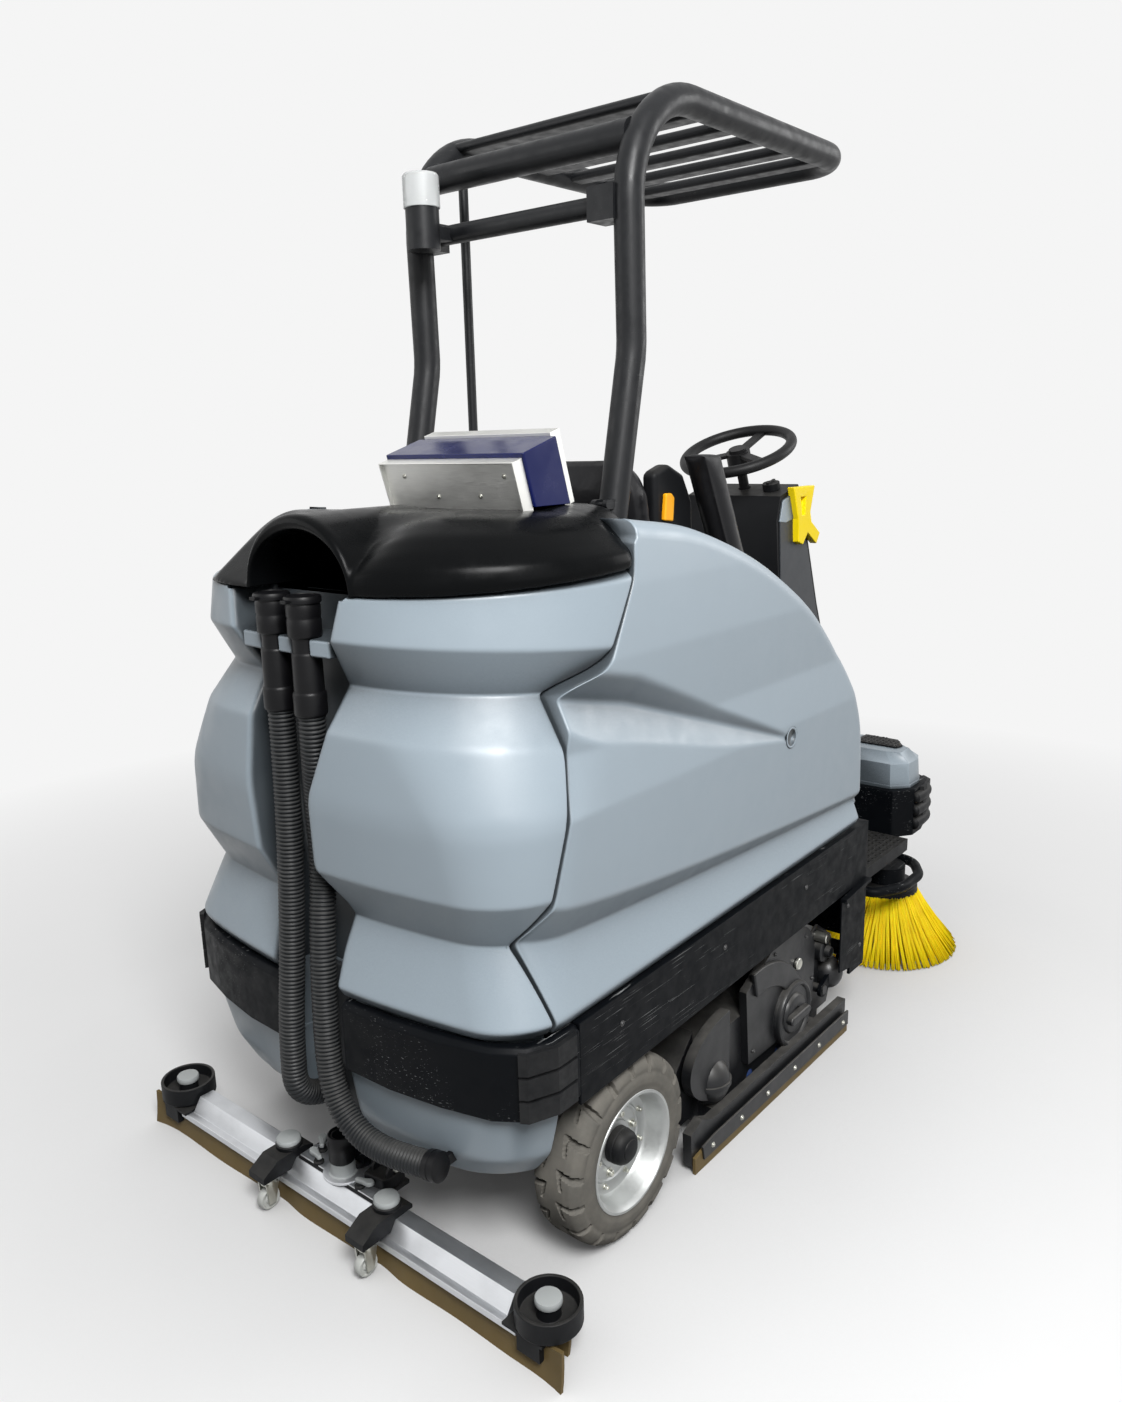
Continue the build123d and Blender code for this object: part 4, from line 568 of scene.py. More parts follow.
def smooth_levels(levels):
    """Rows along a profile of (height, slope, inset, corner, softness), dense where a crease is rounded."""
    levels = np.array(levels, float)
    softness = levels[:, 4]
    run = np.hypot(np.diff(levels[:, 0]), np.diff(levels[:, 2]))
    along = np.concatenate([[0], np.cumsum(run)])
    places = np.arange(0, along[-1] + CREASE_STEP / 2, CREASE_STEP)
    dense = sampled(places, along, levels)
    rows, last = [], -99.0
    for place in places:
        spacing = CREASE_ROWS if (np.abs(along - place) - softness).min() < 4 else PLAIN_ROWS
        if place - last < spacing and place < places[-1]:
            continue
        last = place
        window = min(np.interp(place, along, softness), place, places[-1] - place)
        near = np.abs(places - place) <= window + CREASE_STEP / 2
        weight = 1 + np.cos(math.pi * (places[near] - place) / (window + CREASE_STEP))
        rows.append((dense[near] * weight[:, None]).sum(0) / weight.sum())
    return np.array(rows)[:, :4]


# Seam between the tank and the side panels, as (Y, Z) from the bottom up
SEAM = np.array([(-222, 520), (-222, 572), (-243, 712), (-210, 795), (-147, 1031), (-135, 1140),
                 (-45, 1180), (35, 1318), (50, 1390), (60, 1480)], float)


def seam_y(z):
    return eased(z, SEAM[:, 1], SEAM[:, 0], (-12, -6, 0, 6, 12))


# Hose recess down the rear: height, left and right edge
RECESS = np.array([(100, -105, 82), (640, -108, 78), (725, -112, 92), (797, -128, 36), (940, -136, 40),
                   (1068, -128, 90), (1150, -130, 104), (1236, -150, 124), (1330, -168, 150)], float)
RECESS_Y, RECESS_TOP = -262.0, 1304.0


def recess_edge(z, side):
    column = RECESS[:, 2] if side > 0 else -RECESS[:, 1]
    return eased(z, RECESS[:, 0], column, (-15, -8, 0, 8, 15))


# Tanks: level rings through their crease levels
TANK_WALL, SKIN_COLUMNS = 6.0, 72
RECESS_ROUND, FOOT_IN, FLOOR_END, LIP_CLEAR = 14, 8, 24, 18
SEAM_ROUND, SEAM_CLEAR, FRONT_IN = 5, 9, 60


def tank_half_row(z, slope, inset, corner, side, front, inner):
    """Half of one level ring of a tank, from the middle of the recess floor round to the front middle."""
    x, y = plan_line(inset, corner, front)
    fall = math.tan(math.radians(slope))
    heights = z - fall * (y - BODY_REAR)
    edge = float(recess_edge(z, side))
    run = np.concatenate([[0], np.cumsum(np.hypot(np.diff(x), np.diff(y)))])
    start = np.interp(edge + 2, x, run)
    ahead = y - (seam_y(heights) - SEAM_GAP) if inner else y - front
    end = np.interp(0.0, ahead, run)
    outline = np.stack([x, y], axis=1)
    skin = sampled(np.linspace(start + LIP_CLEAR, end - SEAM_CLEAR, SKIN_COLUMNS), run, outline)
    lip, seam = sampled([start, end], run, outline)
    foot = (edge - FOOT_IN, RECESS_Y)
    turn_in = (inner, seam[1]) if inner else (seam[0] - FRONT_IN, seam[1])
    recess = [straight((0, RECESS_Y), (edge - FLOOR_END, RECESS_Y), 4),
              bend((0, RECESS_Y), foot, lip, RECESS_ROUND), bend(foot, lip, skin[0], RECESS_ROUND)]
    front_end = [bend(skin[-1], seam, turn_in, SEAM_ROUND),
                 straight(turn_in, (turn_in[0], front), 3)[:2 if inner else 1],
                 straight((turn_in[0], front), (0, front), 4)]
    ring = np.concatenate(recess + [skin] + front_end)
    tilt = z - fall * (ring[:, 1] - BODY_REAR)
    inside = sum(len(part) for part in recess)
    tilt[:inside] = np.minimum(tilt[:inside], RECESS_TOP)
    return np.stack([side * ring[:, 0], ring[:, 1], tilt], axis=1)


def tank_skin(name, levels, node, front, inner, material):
    """Closed vessel through its crease levels, open at the top."""
    rings = []
    for level in smooth_levels(levels):
        right, left = (tank_half_row(*level, side, front, inner) for side in (1, -1))
        rings.append(np.concatenate([right, left[::-1][1:-1]]))
    columns = len(rings[0])
    faces = grid_faces(len(rings), columns, wrap=True)
    faces.append(tuple(range(columns)))
    obj = piece(name, np.concatenate(rings), faces, material, node, (node,), sharp=50)
    modifier(obj, "SOLIDIFY", thickness=TANK_WALL * MM, offset=-1)


# Crease levels: height at the rear, slope forwards, inset, corner radius, softness of the crease
TANK_LEVELS = [(552, 0, 16, 135, 4), (572, 0, 4, 135, 10), (705, 0, 50, 150, 5), (797, 0, 6, 170, 7),
               (930, 0, 0, 210, 50), (1068, 5, 14, 310, 14), (1150, 3.5, 62, 300, 5), (1235, 4.5, 8, 390, 6),
               (1308, -2, 16, 395, 4), (1314, -4, 40, 380, 3)]
APRON_LEVELS = [(198, 0, 100, 200, 4), (238, 0, 58, 180, 14), (290, 0, 34, 160, 20), (362, 0, 22, 145, 20),
                (400, 0, 18, 135, 4), (402, 0, 44, 135, 2), (550, 0, 44, 135, 2)]
APRON_FRONT = -205.0
tank_skin("tank_shell", TANK_LEVELS, "waste_tank", TANK_FRONT, PANEL_IN + SEAM_GAP, GREY_BODY)
tank_skin("lower_tank_shell", APRON_LEVELS, "fresh_water_tank", APRON_FRONT, 0, GREY_LOW)

# Side panels: skin between seam, rail and arch, with a waist and a tapering groove
PANEL_REAR, PANEL_FRONT, PANEL_WALL = -243.0, 1022.0, 5.0
PANEL_COLUMNS, PANEL_ROWS = 210, 170
ARCH = np.array([(60, 1421), (260, 1390), (495, 1308), (701, 1194), (815, 1108), (902, 1020), (972, 908),
                 (1004, 812), (PANEL_FRONT, 640)], float)
ARCH_ROLL, SEAM_ROLL, SEAM_IN = 34.0, 5.0, 60.0
ROLL_ANGLES = np.linspace(0, math.pi / 2, 8)
RAIL_TOP_REAR, RAIL_RISE, RAIL_REAR = 548.0, 0.0244, -167.0
# Groove: Y, height of its upper edge, height and half width at its bottom, height of its lower edge
SCOOP = np.array([(-200, 1206, 1142, 445, 1040), (40, 1156, 1088, 456, 998), (300, 1058, 1001, 475, 947),
                  (584, 910, 905, 500, 900)], float)
PANEL_HOLE = (606.0, 901.0, 18.0)
# Waist of the panel at its rear and front end: its height, that of the crease above it, its depth
WAIST_Z, CREASE_Z, WAIST_DEEP, WAIST_CURVE = (712, 646), (795, 664), (50, 22), 0.6
# Levels above the waist: inset, corner radius, height
PANEL_LEVELS = [(0, 210, 930), (14, 310, 1035), (8, 300, 1185), (16, 345, 1310), (30, 345, 1440)]


def rail_top(y):
    return RAIL_TOP_REAR + (y - RAIL_REAR) * RAIL_RISE


def panel_x(y, z):
    """Outer surface of the right side panel."""
    along = ramp(y, PANEL_REAR, PANEL_FRONT - PANEL_REAR)
    bottom = rail_top(y)
    waist, crease = (between(ends, along ** WAIST_CURVE) for ends in (WAIST_Z, CREASE_Z))
    depth = between(WAIST_DEEP, along)
    levels = [(16, 135, bottom), (4, 135, bottom + 24), (depth, 150, waist), (6, 170, crease)] + PANEL_LEVELS
    behind = np.maximum(y, seam_y(z) - 15)
    steps = [(side_x(inset, corner, behind), height) for inset, corner, height in levels]
    x = steps[0][0]
    for (width, low), (next_width, high) in zip(steps, steps[1:]):
        x = np.where(z >= low, width + (next_width - width) * ramp(z, low, high - low), x)
    top, middle, deep, low = (np.interp(y, SCOOP[:, 0], SCOOP[:, k]) for k in range(1, 5))
    rise = np.where(z > middle, (z - middle) / (top - middle), (middle - z) / (middle - low))
    groove = deep + (BODY_HALF - deep) * rise
    return np.where(y < SCOOP[-1, 0], np.minimum(x, groove), x)


def soft_panel_x(y, z):
    """The panel's surface with its creases rounded."""
    total = 0
    spread = [(0, 0)] + [(r * math.cos(a), r * math.sin(a)) for r, n in ((3, 6), (6, 8)) for a in turns(n)]
    for dy, dz in spread:
        total = total + panel_x(y + dy, z + dz)
    return total / len(spread)


def lid_side(y):
    """Half width of the lid's lower edge ahead of its rounded rear."""
    return np.interp(y, [25, 188, 210], [487, 397, PANEL_IN])


def panel_face(top):
    """Rows of points between seam, rail, front edge and the line where the top rolls over."""
    low_y = np.linspace(SEAM[0, 0], top[-1, 0], PANEL_COLUMNS)
    bottom = np.stack([low_y, rail_top(low_y) + 3], axis=1)
    heights = np.linspace(bottom[0, 1], top[0, 1], PANEL_ROWS)
    left = np.stack([seam_y(heights), heights], axis=1)
    left[-1] = top[0]
    right = straight(bottom[-1], top[-1], PANEL_ROWS)
    u = np.linspace(0, 1, PANEL_COLUMNS)[None, :, None]
    v = np.linspace(0, 1, PANEL_ROWS)[:, None, None]
    flat = ((1 - v) * bottom[None] + v * top[None] + (1 - u) * left[:, None] + u * right[:, None]
            - (1 - u) * (1 - v) * bottom[0] - u * (1 - v) * bottom[-1]
            - (1 - u) * v * top[0] - u * v * top[-1])
    flat[:, :, 0] += SEAM_ROLL * (1 - u[..., 0]) ** 8
    depth = soft_panel_x(flat[..., 0], flat[..., 1])
    return np.concatenate([depth[..., None], flat], axis=2)


def rolled_top(edge, normal):
    """Rows that roll the arched top over and run in to the lid."""
    rows = []
    for a in ROLL_ANGLES[1:]:
        row = edge.copy()
        row[:, 0] -= ARCH_ROLL * (1 - math.cos(a))
        row[:, 1:] += normal * ARCH_ROLL * math.sin(a)
        rows.append(row)
    crest = rows[-1]
    inside = np.where(crest[:, 1] < 210, lid_side(crest[:, 1]) + 6, PANEL_IN)
    for share in (0.35, 0.7, 1.0):
        row = crest.copy()
        row[:, 0] += (np.minimum(inside, row[:, 0] - 2) - row[:, 0]) * share
        rows.append(row)
    return np.stack(rows)


def rolled_seam(edge):
    """Columns that roll the seam edge in beside the tank."""
    shifts = [(SEAM_ROLL + SEAM_IN * share, SEAM_ROLL) for share in (1.0, 0.5)]
    shifts += [(SEAM_ROLL * (1 - math.cos(a)), SEAM_ROLL * math.sin(a)) for a in ROLL_ANGLES[:0:-1]]
    return np.stack([edge - (inwards, back, 0) for inwards, back in shifts], axis=1)


def panel_sheet():
    """Right side panel with its grip hole left open."""
    arch = through(ARCH, PANEL_COLUMNS)
    slope = np.gradient(arch, axis=0)
    normal = np.stack([-slope[:, 1], slope[:, 0]], axis=1)
    normal /= np.linalg.norm(normal, axis=1)[:, None]
    face = panel_face(arch - normal * ARCH_ROLL)
    sheet = np.concatenate([face, rolled_top(face[-1], normal)])
    sheet = np.concatenate([rolled_seam(sheet[:, 0]), sheet], axis=1)
    points = sheet.reshape(-1, 3)
    y, z, r = PANEL_HOLE
    faces = []
    for quad in grid_faces(*sheet.shape[:2]):
        middle = points[list(quad)].mean(0)
        if math.hypot(middle[1] - y, middle[2] - z) > r + 4 or middle[0] < 470:
            faces.append(quad)
    return points, faces


panel_points, panel_faces = panel_sheet()
for name, side in SIDES:
    node = "side_panel_" + name
    skin = piece("side_panel_skin_" + name, panel_points * (side, 1, 1), panel_faces, GREY_BODY, node,
                 (node,), sharp=55)
    modifier(skin, "SOLIDIFY", thickness=PANEL_WALL * MM, offset=-1)

# Grip hole of each panel: a grey lip round a cup whose inside is black as painted shade
for name, side in SIDES:
    y, z, r = PANEL_HOLE
    x = float(panel_x(np.array(y), np.array(z)))
    cup = [(r + 7, 0.2), (r + 5, 1.2), (r + 2, 1.2), (r, -1.5), (r - 0.5, -36), (r - 3, -38), (0.0, -38)]
    points, faces = lathe([(radius, side * h) for radius, h in cup], "X", (side * x, y, z), 36)
    hole = piece("grip_hole_" + name, points, faces, GREY_BODY, "side_panel_" + name)
    # the cup's inside takes the black finish as painted shade for the hole's depth
    hole.data.materials.append(SOFT_BLACK)
    centre = Vector((y * MM + AXLE_Y, z * MM))
    for face in hole.data.polygons:
        reach = max((hole.data.vertices[v].co.yz - centre).length for v in face.vertices)
        face.material_index = int(reach < (r + 0.2) * MM)

# Lid: dome rings, joined to the hood, then skinned as one moulding
LID_LEVELS = [(1310, 0, 22, 0, 2), (1318, 0, 17, 0, 5), (1332, 0, 16, 0, 8), (1358, 0, 22, 0, 14),
              (1384, 0, 44, 0, 20), (1410, 0, 78, 0, 24), (1432, 0, 128, 0, 28), (1446, 0, 200, 0, 30),
              (1449, 0, 260, 0, 2)]
LID_FOOT, LID_VOXEL, LID_WALL = LID_LEVELS[0][0], 4.0, 4.0
LID_CORNER, LID_SIDE_END, LID_FRONT, LID_NOSE_X = 384.0, 25.0, 188.0, 405.0
HOOD_X, HOOD_W, HOOD_H, HOOD_FOOT = 34.0, 150.0, 134.0, 1314.0
HOOD_REAR, HOOD_BACK, HOOD_FRONT, HOOD_LIP = -352.0, -190.0, -80.0, 15.0
# The left rear of the dome falls away under a sloping plane: height, slope along X and along Y
SHOULDER, SHOULDER_SOFT = (1711.0, 0.6, 0.735), 44.0
FLAT_TOP, FLAT_SOFT = (1433.0, 0.021, -0.064), 16.0
LIFT_SLOPE, LIFT_REACH = 0.07, 400
DENT_X, DENT_WIDE, DENT_DEEP = 150, 62, 24
BOX_SEAT_TALL = 14


def lid_half_ring(z, inset):
    x, y = plan_line(inset, LID_CORNER - inset, LID_SIDE_END)
    back = evenly(np.stack([x, y], axis=1), 90)
    nose = (LID_NOSE_X - 0.4 * inset, LID_FRONT - 0.25 * inset)
    corner = bend(back[-1], nose, (0, nose[1]), 30, 7)
    slant = straight(back[-1], corner[0], 8)[1:-1]
    front = straight(corner[-1], (0, nose[1]), 14)[1:]
    ring = np.concatenate([back, slant, corner, front])
    return np.concatenate([ring, np.full((len(ring), 1), z)], axis=1)


def soft_under(z, limit, soft):
    """Heights kept under a limit, with a rounded change-over."""
    share = np.clip(0.5 + 0.5 * (limit - z) / soft, 0, 1)
    return limit * (1 - share) + z * share - soft * share * (1 - share)


def plane(terms, x, y):
    """Height of a sloping plane."""
    return terms[0] + terms[1] * x + terms[2] * y


def under_shoulder(points):
    """Flattens the dome's top, lowers its left rear and lifts its lower edge towards the front."""
    x, y, z = points.T
    lift = LIFT_SLOPE * np.clip(y - HOOD_REAR, 0, LIFT_REACH) * ramp(-z, -1384, 74)
    z = z + lift * ramp(x, -300, 100)
    dent = DENT_DEEP * np.exp(-((x - DENT_X) / DENT_WIDE) ** 2) * ramp(-y, 150, 120)
    z = z - dent * ramp(z, 1330, 60)
    box_seat = BOX_SEAT_TALL * ramp(y, 0, 50) * ramp(x, -80, 60)
    z = soft_under(z, plane(FLAT_TOP, x, y) + box_seat, FLAT_SOFT)
    beside_hood = 1316 + 0.6 * (y - HOOD_REAR) + 4 * np.maximum(0, x + 40)
    limit = np.minimum(plane(SHOULDER, x, y), beside_hood)
    z = np.maximum(soft_under(z, limit, SHOULDER_SOFT), LID_FOOT)
    return np.stack([x, y, z], axis=1)


def lid_dome():
    rings = []
    for z, _, inset, _ in smooth_levels(LID_LEVELS):
        right = lid_half_ring(z, inset)
        left = right[::-1][1:-1] * (-1, 1, 1)
        rings.append(np.concatenate([right, left]))
    return under_shoulder(np.concatenate(rings)), tube_faces(len(rings), len(rings[0]))


def hood_block(sections, foot, steps=49):
    """Half-ellipse block through sections of (Y, wider, taller), closed by a flat underside at foot."""
    points = []
    for y, wider, taller in sections:
        half, tall = HOOD_W + wider, HOOD_H + taller
        points.append((HOOD_X + half, y, foot))
        points += [(HOOD_X + half * math.cos(a), y, HOOD_FOOT + tall * math.sin(a))
                   for a in np.linspace(0, math.pi, steps)]
        points.append((HOOD_X - HOOD_W - wider, y, foot))
    return points, tube_faces(len(sections), steps + 2)


def build_lid():
    """Dome and hood skinned together, with the hose mouth cut in under a rolled lip."""
    lip = HOOD_LIP
    outer, inner = [], [(HOOD_REAR - 14, -6, -lip)]
    for a in np.linspace(0, math.pi / 2, 7):
        y, rise = HOOD_REAR + lip * (1 - math.cos(a)), math.sin(a)
        outer.append((y, -6 * (1 - rise), -lip * (1 - rise)))
        inner.append((y, -6 - 5 * rise, -lip * (1 + rise)))
    lid = make_object("lid_skin", *lid_dome())
    hood = make_object("hood_block", *hood_block(outer + [(HOOD_FRONT, 0, 0)], LID_FOOT + 1))
    modifier(lid, "BOOLEAN", object=hood, operation="UNION", solver="EXACT")
    modifier(lid, "REMESH", mode="VOXEL", voxel_size=LID_VOXEL * MM)
    modifier(lid, "SMOOTH", factor=0.5, iterations=7)
    mouth = make_object("hood_mouth", *hood_block(inner + [(HOOD_BACK, -11, -2 * lip)], LID_FOOT - 40))
    modifier(lid, "BOOLEAN", object=mouth, operation="DIFFERENCE", solver="EXACT")
    settled_mesh(lid)
    for helper in (hood, mouth):
        bpy.data.objects.remove(helper)
    with reworked(lid.data) as work:
        work.normal_update()
        under = [face for face in work.faces
                 if face.normal.z < -0.9 and face.calc_center_median().z < (LID_FOOT + 4) * MM]
        bmesh.ops.delete(work, geom=under, context="FACES")
    modifier(lid, "SOLIDIFY", thickness=LID_WALL * MM, offset=-1)
    adopt(lid, LID_BLACK, "tank_lid", ("tank_lid",), sharp=55)


build_lid()

# Drain hoses: their route points and the shape of one rib
HOSE_CREST, HOSE_ROOT, HOSE_PITCH = 25.5, 22.0, 8.0
HOSE_LEFT = [(-54, -340, 1096), (-54, -340, 1000), (-50, -350, 800), (-50, -366, 600), (-50, -386, 430),
             (-50, -386, 270), (-50, -262, 270)]
HOSE_RIGHT = [(36, -340, 1096), (36, -340, 1020), (6, -320, 920), (6, -318, 780), (26, -350, 640),
              (38, -368, 440), (62, -378, 340), (118, -376, 280), (205, -366, 262), (300, -352, 276)]
RIB = ((0.0, HOSE_ROOT), (0.22, HOSE_ROOT), (0.38, HOSE_CREST - 0.6), (0.55, HOSE_CREST), (0.72, HOSE_CREST),
       (0.88, HOSE_CREST - 0.6))


def spline_points(route):
    """Points along the NURBS line that the route's points control, in row-frame metres."""
    curve = bpy.data.curves.new("hose_line", "CURVE")
    curve.dimensions = "3D"
    line = curve.splines.new("NURBS")
    line.points.add(len(route) - 1)
    for point, place in zip(line.points, row_frame(route)):
        point.co = (*place, 1)
    line.order_u = 3
    line.use_endpoint_u = True
    line.resolution_u = 24
    obj = bpy.data.objects.new("hose_line", curve)
    mesh = bpy.data.meshes.new_from_object(obj)
    points = np.array([v.co for v in mesh.vertices])
    bpy.data.objects.remove(obj)
    bpy.data.curves.remove(curve)
    bpy.data.meshes.remove(mesh)
    return points


def ribbed_hose(name, route, node):
    line = evenly(spline_points(route), 400)
    run = run_along(line)
    length = float(run[-1])
    ribs = int(length / (HOSE_PITCH * MM))
    shares = [(rib + part) / ribs for rib in range(ribs) for part, _ in RIB]
    path = sampled(shares, run / length, line)
    points, faces = sweep(path, [radius * MM for _, radius in RIB] * ribs)
    hose = piece(name, machine_frame(points), faces, HOSE_GREY, node, (node,))


ribbed_hose("hose_left", HOSE_LEFT, "drain_hose_left")
ribbed_hose("hose_right", HOSE_RIGHT, "drain_hose_right")


def notch(x, y, r, edge, count=17):
    """U-shaped notch open to the rear edge of a plate, from left to right."""
    arc = [(x + r * math.cos(a), y + r * math.sin(a)) for a in np.linspace(math.pi, 0, count)]
    return [(x - r, edge)] + arc + [(x + r, edge)]


# Shelf across the recess that the hose ends hang from
SHELF_REAR, NOTCH_R = -354, 25
notches = [point for x, y, _ in (HOSE_LEFT[0], HOSE_RIGHT[0]) for point in notch(x, y, NOTCH_R, SHELF_REAR)]
shelf = [(-149, -258), (-140, -350)] + notches + [(112, -350), (122, -258)]
solid_outline("hose_shelf", shelf, 1198, 1230, GREY_BODY, "waste_tank", width=5)

# Hose ends: collar, body, neck, head and cap, with a pull tab on the cap
CUFF = [(20, 1085), (27, 1086), (30, 1089), (30.5, 1093), (30.5, 1126), (29.5, 1130), (27.6, 1132),
        (27.2, 1198), (26.4, 1202), (24, 1204), (24, 1226), (25, 1229), (29, 1231), (31, 1235), (31, 1262),
        (30, 1264), (30, 1267), (31, 1269), (31, 1286), (30, 1290), (31, 1292), (33.6, 1293), (34, 1296),
        (34, 1301), (32, 1304.5), (24, 1306), (23, 1304.5), (0, 1304.5)]
CUFF_PART = (CUFF_BLACK, "hose_cuffs")
for name, (x, y, _), nodes in (("left", HOSE_LEFT[0], ("hose_cuffs",)), ("right", HOSE_RIGHT[0], ())):
    turned("hose_cuff_" + name, CUFF, "Z", (x, y, 0), *CUFF_PART, nodes)
    tab = [(x - 9, y - 30), (x + 9, y - 30), (x + 8, y - 43), (x - 8, y - 43)]
    solid_outline("cuff_tab_" + name, tab, 1294, 1300, *CUFF_PART, width=1.5)

# Plug at the low end of the right hose, hung from the tank by a strap
PLUG = ((-6, 24), (-5, 28), (6, 28.5), (7, 27), (9, 27), (10, 28.5), (21, 28), (23, 24), (23.5, 0.1))
STRAP_FRONT = -286
before, end = np.array(HOSE_RIGHT[-2:], float)
away = (end - before) / np.linalg.norm(end - before)
points, faces = sweep([end + away * far for far, _ in PLUG], [r for _, r in PLUG], 36)
piece("hose_plug", points, faces, *CUFF_PART, sharp=40)
x, y, z = end
strap = [(x + 8, y - 4), (x + 18, y - 4), (x + 18, STRAP_FRONT), (x + 8, STRAP_FRONT)]
solid_outline("hose_strap", strap, z - 10, z + 14, *CUFF_PART, width=2)

# Rear wheels: tyre with hooked shoulder grooves, dished rim, black hub cap
WHEEL_OUT, TYRE_R, TYRE_W = 503.0, 190.0, 115.0
LUGS, LUG_STEPS, TYRE_COLUMNS = 18, 28, 112
# Grooves of the tread: inner and outer end from its middle, half widths, depths, hook's slope and length
GROOVE_IN, GROOVE_OUT, NOTCH_HALF, HOOK_HALF = 14, 57, (4.2, 8.0), 3.2
NOTCH_DEEP, HOOK_DEEP, GROOVE_SOFT = 15, 10, 1.6
NOTCH_SLANT, HOOK_SLOPE, HOOK_START, HOOK_LONG = 0.16, 18, 0.04, 0.56
TYRE_PROFILE = np.array([(10, 114), (3, 122), (2, 130), (0, 137), (0.5, 150), (3.5, 160), (2, 164), (4, 172),
                         (10, 182), (16, 187), (30, 190), (85, 190), (99, 187), (105, 182), (111, 172),
                         (113, 164), (111.5, 160), (114.5, 150), (115, 137), (113, 130), (112, 122),
                         (105, 114)], float)
# Rim and hub cap: radius, depth behind the tyre's outer face
RIM = [(0, 58), (98, 58), (104, 62), (106, 104), (117, 112), (123, 112), (114, 105), (114, 10), (124, 2),
       (123, 0.5), (118, 0.5), (115, 4), (110, 12), (106, 40), (102, 47), (96, 50), (82, 50), (79, 47.5),
       (75, 47.5), (72, 50), (48, 50), (46, 46), (40, 46), (40, 46.1), (0, 46)]
HUB_CAP = [(36, 48), (37, 46), (37, 33), (35, 31), (35, 29), (36, 28), (35, 22), (31, 15), (24, 10), (22, 10),
           (21, 8), (12, 6), (0, 5.5)]
RIM_FACE, SCREW_TALL = 50, 9
# Screws on the rim's face: how many, radius of their ring, size of the head, share of a step turned
WHEEL_SCREWS = (("wheel_bolts_", 6, 60, 6.5, 0.2), ("rim_screws_", 8, 88, 4.2, 0.5))


def groove_depth(across, angle):
    """Depth of the tread's grooves: notches from the shoulder that end in a hook along the tread."""
    offset = across - TYRE_W / 2
    reach = np.abs(offset)
    t = (angle * LUGS / (2 * math.pi) + np.where(offset > 0, 0.5, 0.0)) % 1.0 - 0.5
    pitch = 2 * math.pi * TYRE_R / LUGS
    slant = NOTCH_SLANT * (reach - GROOVE_OUT) / 40
    notch_gap = np.abs(t - slant) * pitch - np.interp(reach, [GROOVE_IN, GROOVE_OUT], NOTCH_HALF)
    notch_cut = np.clip(0.5 - notch_gap / GROOVE_SOFT, 0, 1) * ramp(reach, GROOVE_IN - 1, 2)
    ahead = (t - slant + HOOK_START) % 1.0
    hook_gap = np.abs(reach - GROOVE_IN - HOOK_SLOPE * ahead) - HOOK_HALF
    hook_cut = np.clip(0.5 - hook_gap / GROOVE_SOFT, 0, 1) * np.clip((HOOK_LONG - ahead) * 30, 0, 1)
    return np.maximum(NOTCH_DEEP * notch_cut, HOOK_DEEP * hook_cut)


def tyre(name, side):
    run = run_along(TYRE_PROFILE)
    places = np.linspace(0, run[-1], TYRE_COLUMNS)
    across, radius = np.mean([[np.interp(np.clip(places + shift, 0, run[-1]), run, column)
                               for column in TYRE_PROFILE.T] for shift in (-2.5, 0, 2.5)], axis=0)
    angle = turns(LUGS * LUG_STEPS)[:, None]
    r = radius[None] - groove_depth(across[None], angle) * ramp(radius[None], 158, 16)
    x = np.broadcast_to(side * (WHEEL_OUT - across)[None], r.shape)
    points = np.stack([x, r * np.cos(angle), TYRE_R + r * np.sin(angle)], axis=2).reshape(-1, 3)
    rows, columns = r.shape
    faces = [tuple(k % len(points) for k in face) for face in grid_faces(rows + 1, columns)]
    node = "rear_tyre_" + name
    piece("tyre_" + name, points, faces, TYRE, node, (node,), sharp=38)


for name, side in SIDES:
    node, axle = "rear_rim_" + name, (0, 0, TYRE_R)
    tyre(name, side)
    rim, cap = ([(r, side * (WHEEL_OUT - depth)) for r, depth in profile] for profile in (RIM, HUB_CAP))
    turned("rim_" + name, rim, "X", axle, RIM_SILVER, node, (node,), 96, 30)
    turned("hub_cap_" + name, cap, "X", axle, SOFT_BLACK, node)
    for kind, count, ring, size, phase in WHEEL_SCREWS:
        places = [(side * (WHEEL_OUT - RIM_FACE), ring * math.cos(a), TYRE_R + ring * math.sin(a))
                  for a in turns(count, phase)]
        bolts(kind + name, places, (side, 0, 0), size, SCREW_TALL, ZINC, node)

# Side broom: tufts of fine strands under the backing disc
BROOM_X, BROOM_Y, STRAND_TOP = 350.0, 1550.0, 181.0
# Rings of tufts: radius at the root, radius at the tip, number of tufts
TUFT_RINGS = [(50, 96, 44), (64, 134, 58), (78, 176, 72), (92, 218, 84)]
STRANDS_PER_TUFT = 11
STRAND_SHARES = np.array([0, 0.3, 0.62, 1.0])
STRAND_RADII = (2.2, 2.1, 1.9, 1.4)
FOOT_SPREAD, TIP_SPREAD, FLARE = 1.6, 3.3, 0.22


def broom_strands():
    chance = np.random.default_rng(11)
    t = STRAND_SHARES
    parts = []
    for ring, (root, tip, count) in enumerate(TUFT_RINGS):
        outermost = ring == len(TUFT_RINGS) - 1
        for middle in turns(count, 0.5 * (ring % 2)):
            for _ in range(STRANDS_PER_TUFT):
                foot = middle + chance.normal(0, FOOT_SPREAD) / root
                far = middle + chance.normal(0, TIP_SPREAD) / tip
                reach = tip - abs(chance.normal(0, 4.0)) if outermost else tip + chance.normal(-1.0, 3.0)
                low = abs(chance.normal(2, 2.5)) + 1.5
                r = root + chance.normal(0, 1.5) + (reach - root) * ((1 - FLARE) * t + FLARE * t ** 2)
                a = foot + (far - foot) * t
                z = STRAND_TOP + (low - STRAND_TOP) * t
                path = np.stack([BROOM_X + r * np.cos(a), BROOM_Y + r * np.sin(a), z], axis=1)
                parts.append(sweep(path, STRAND_RADII, 4))
    return merged(parts)


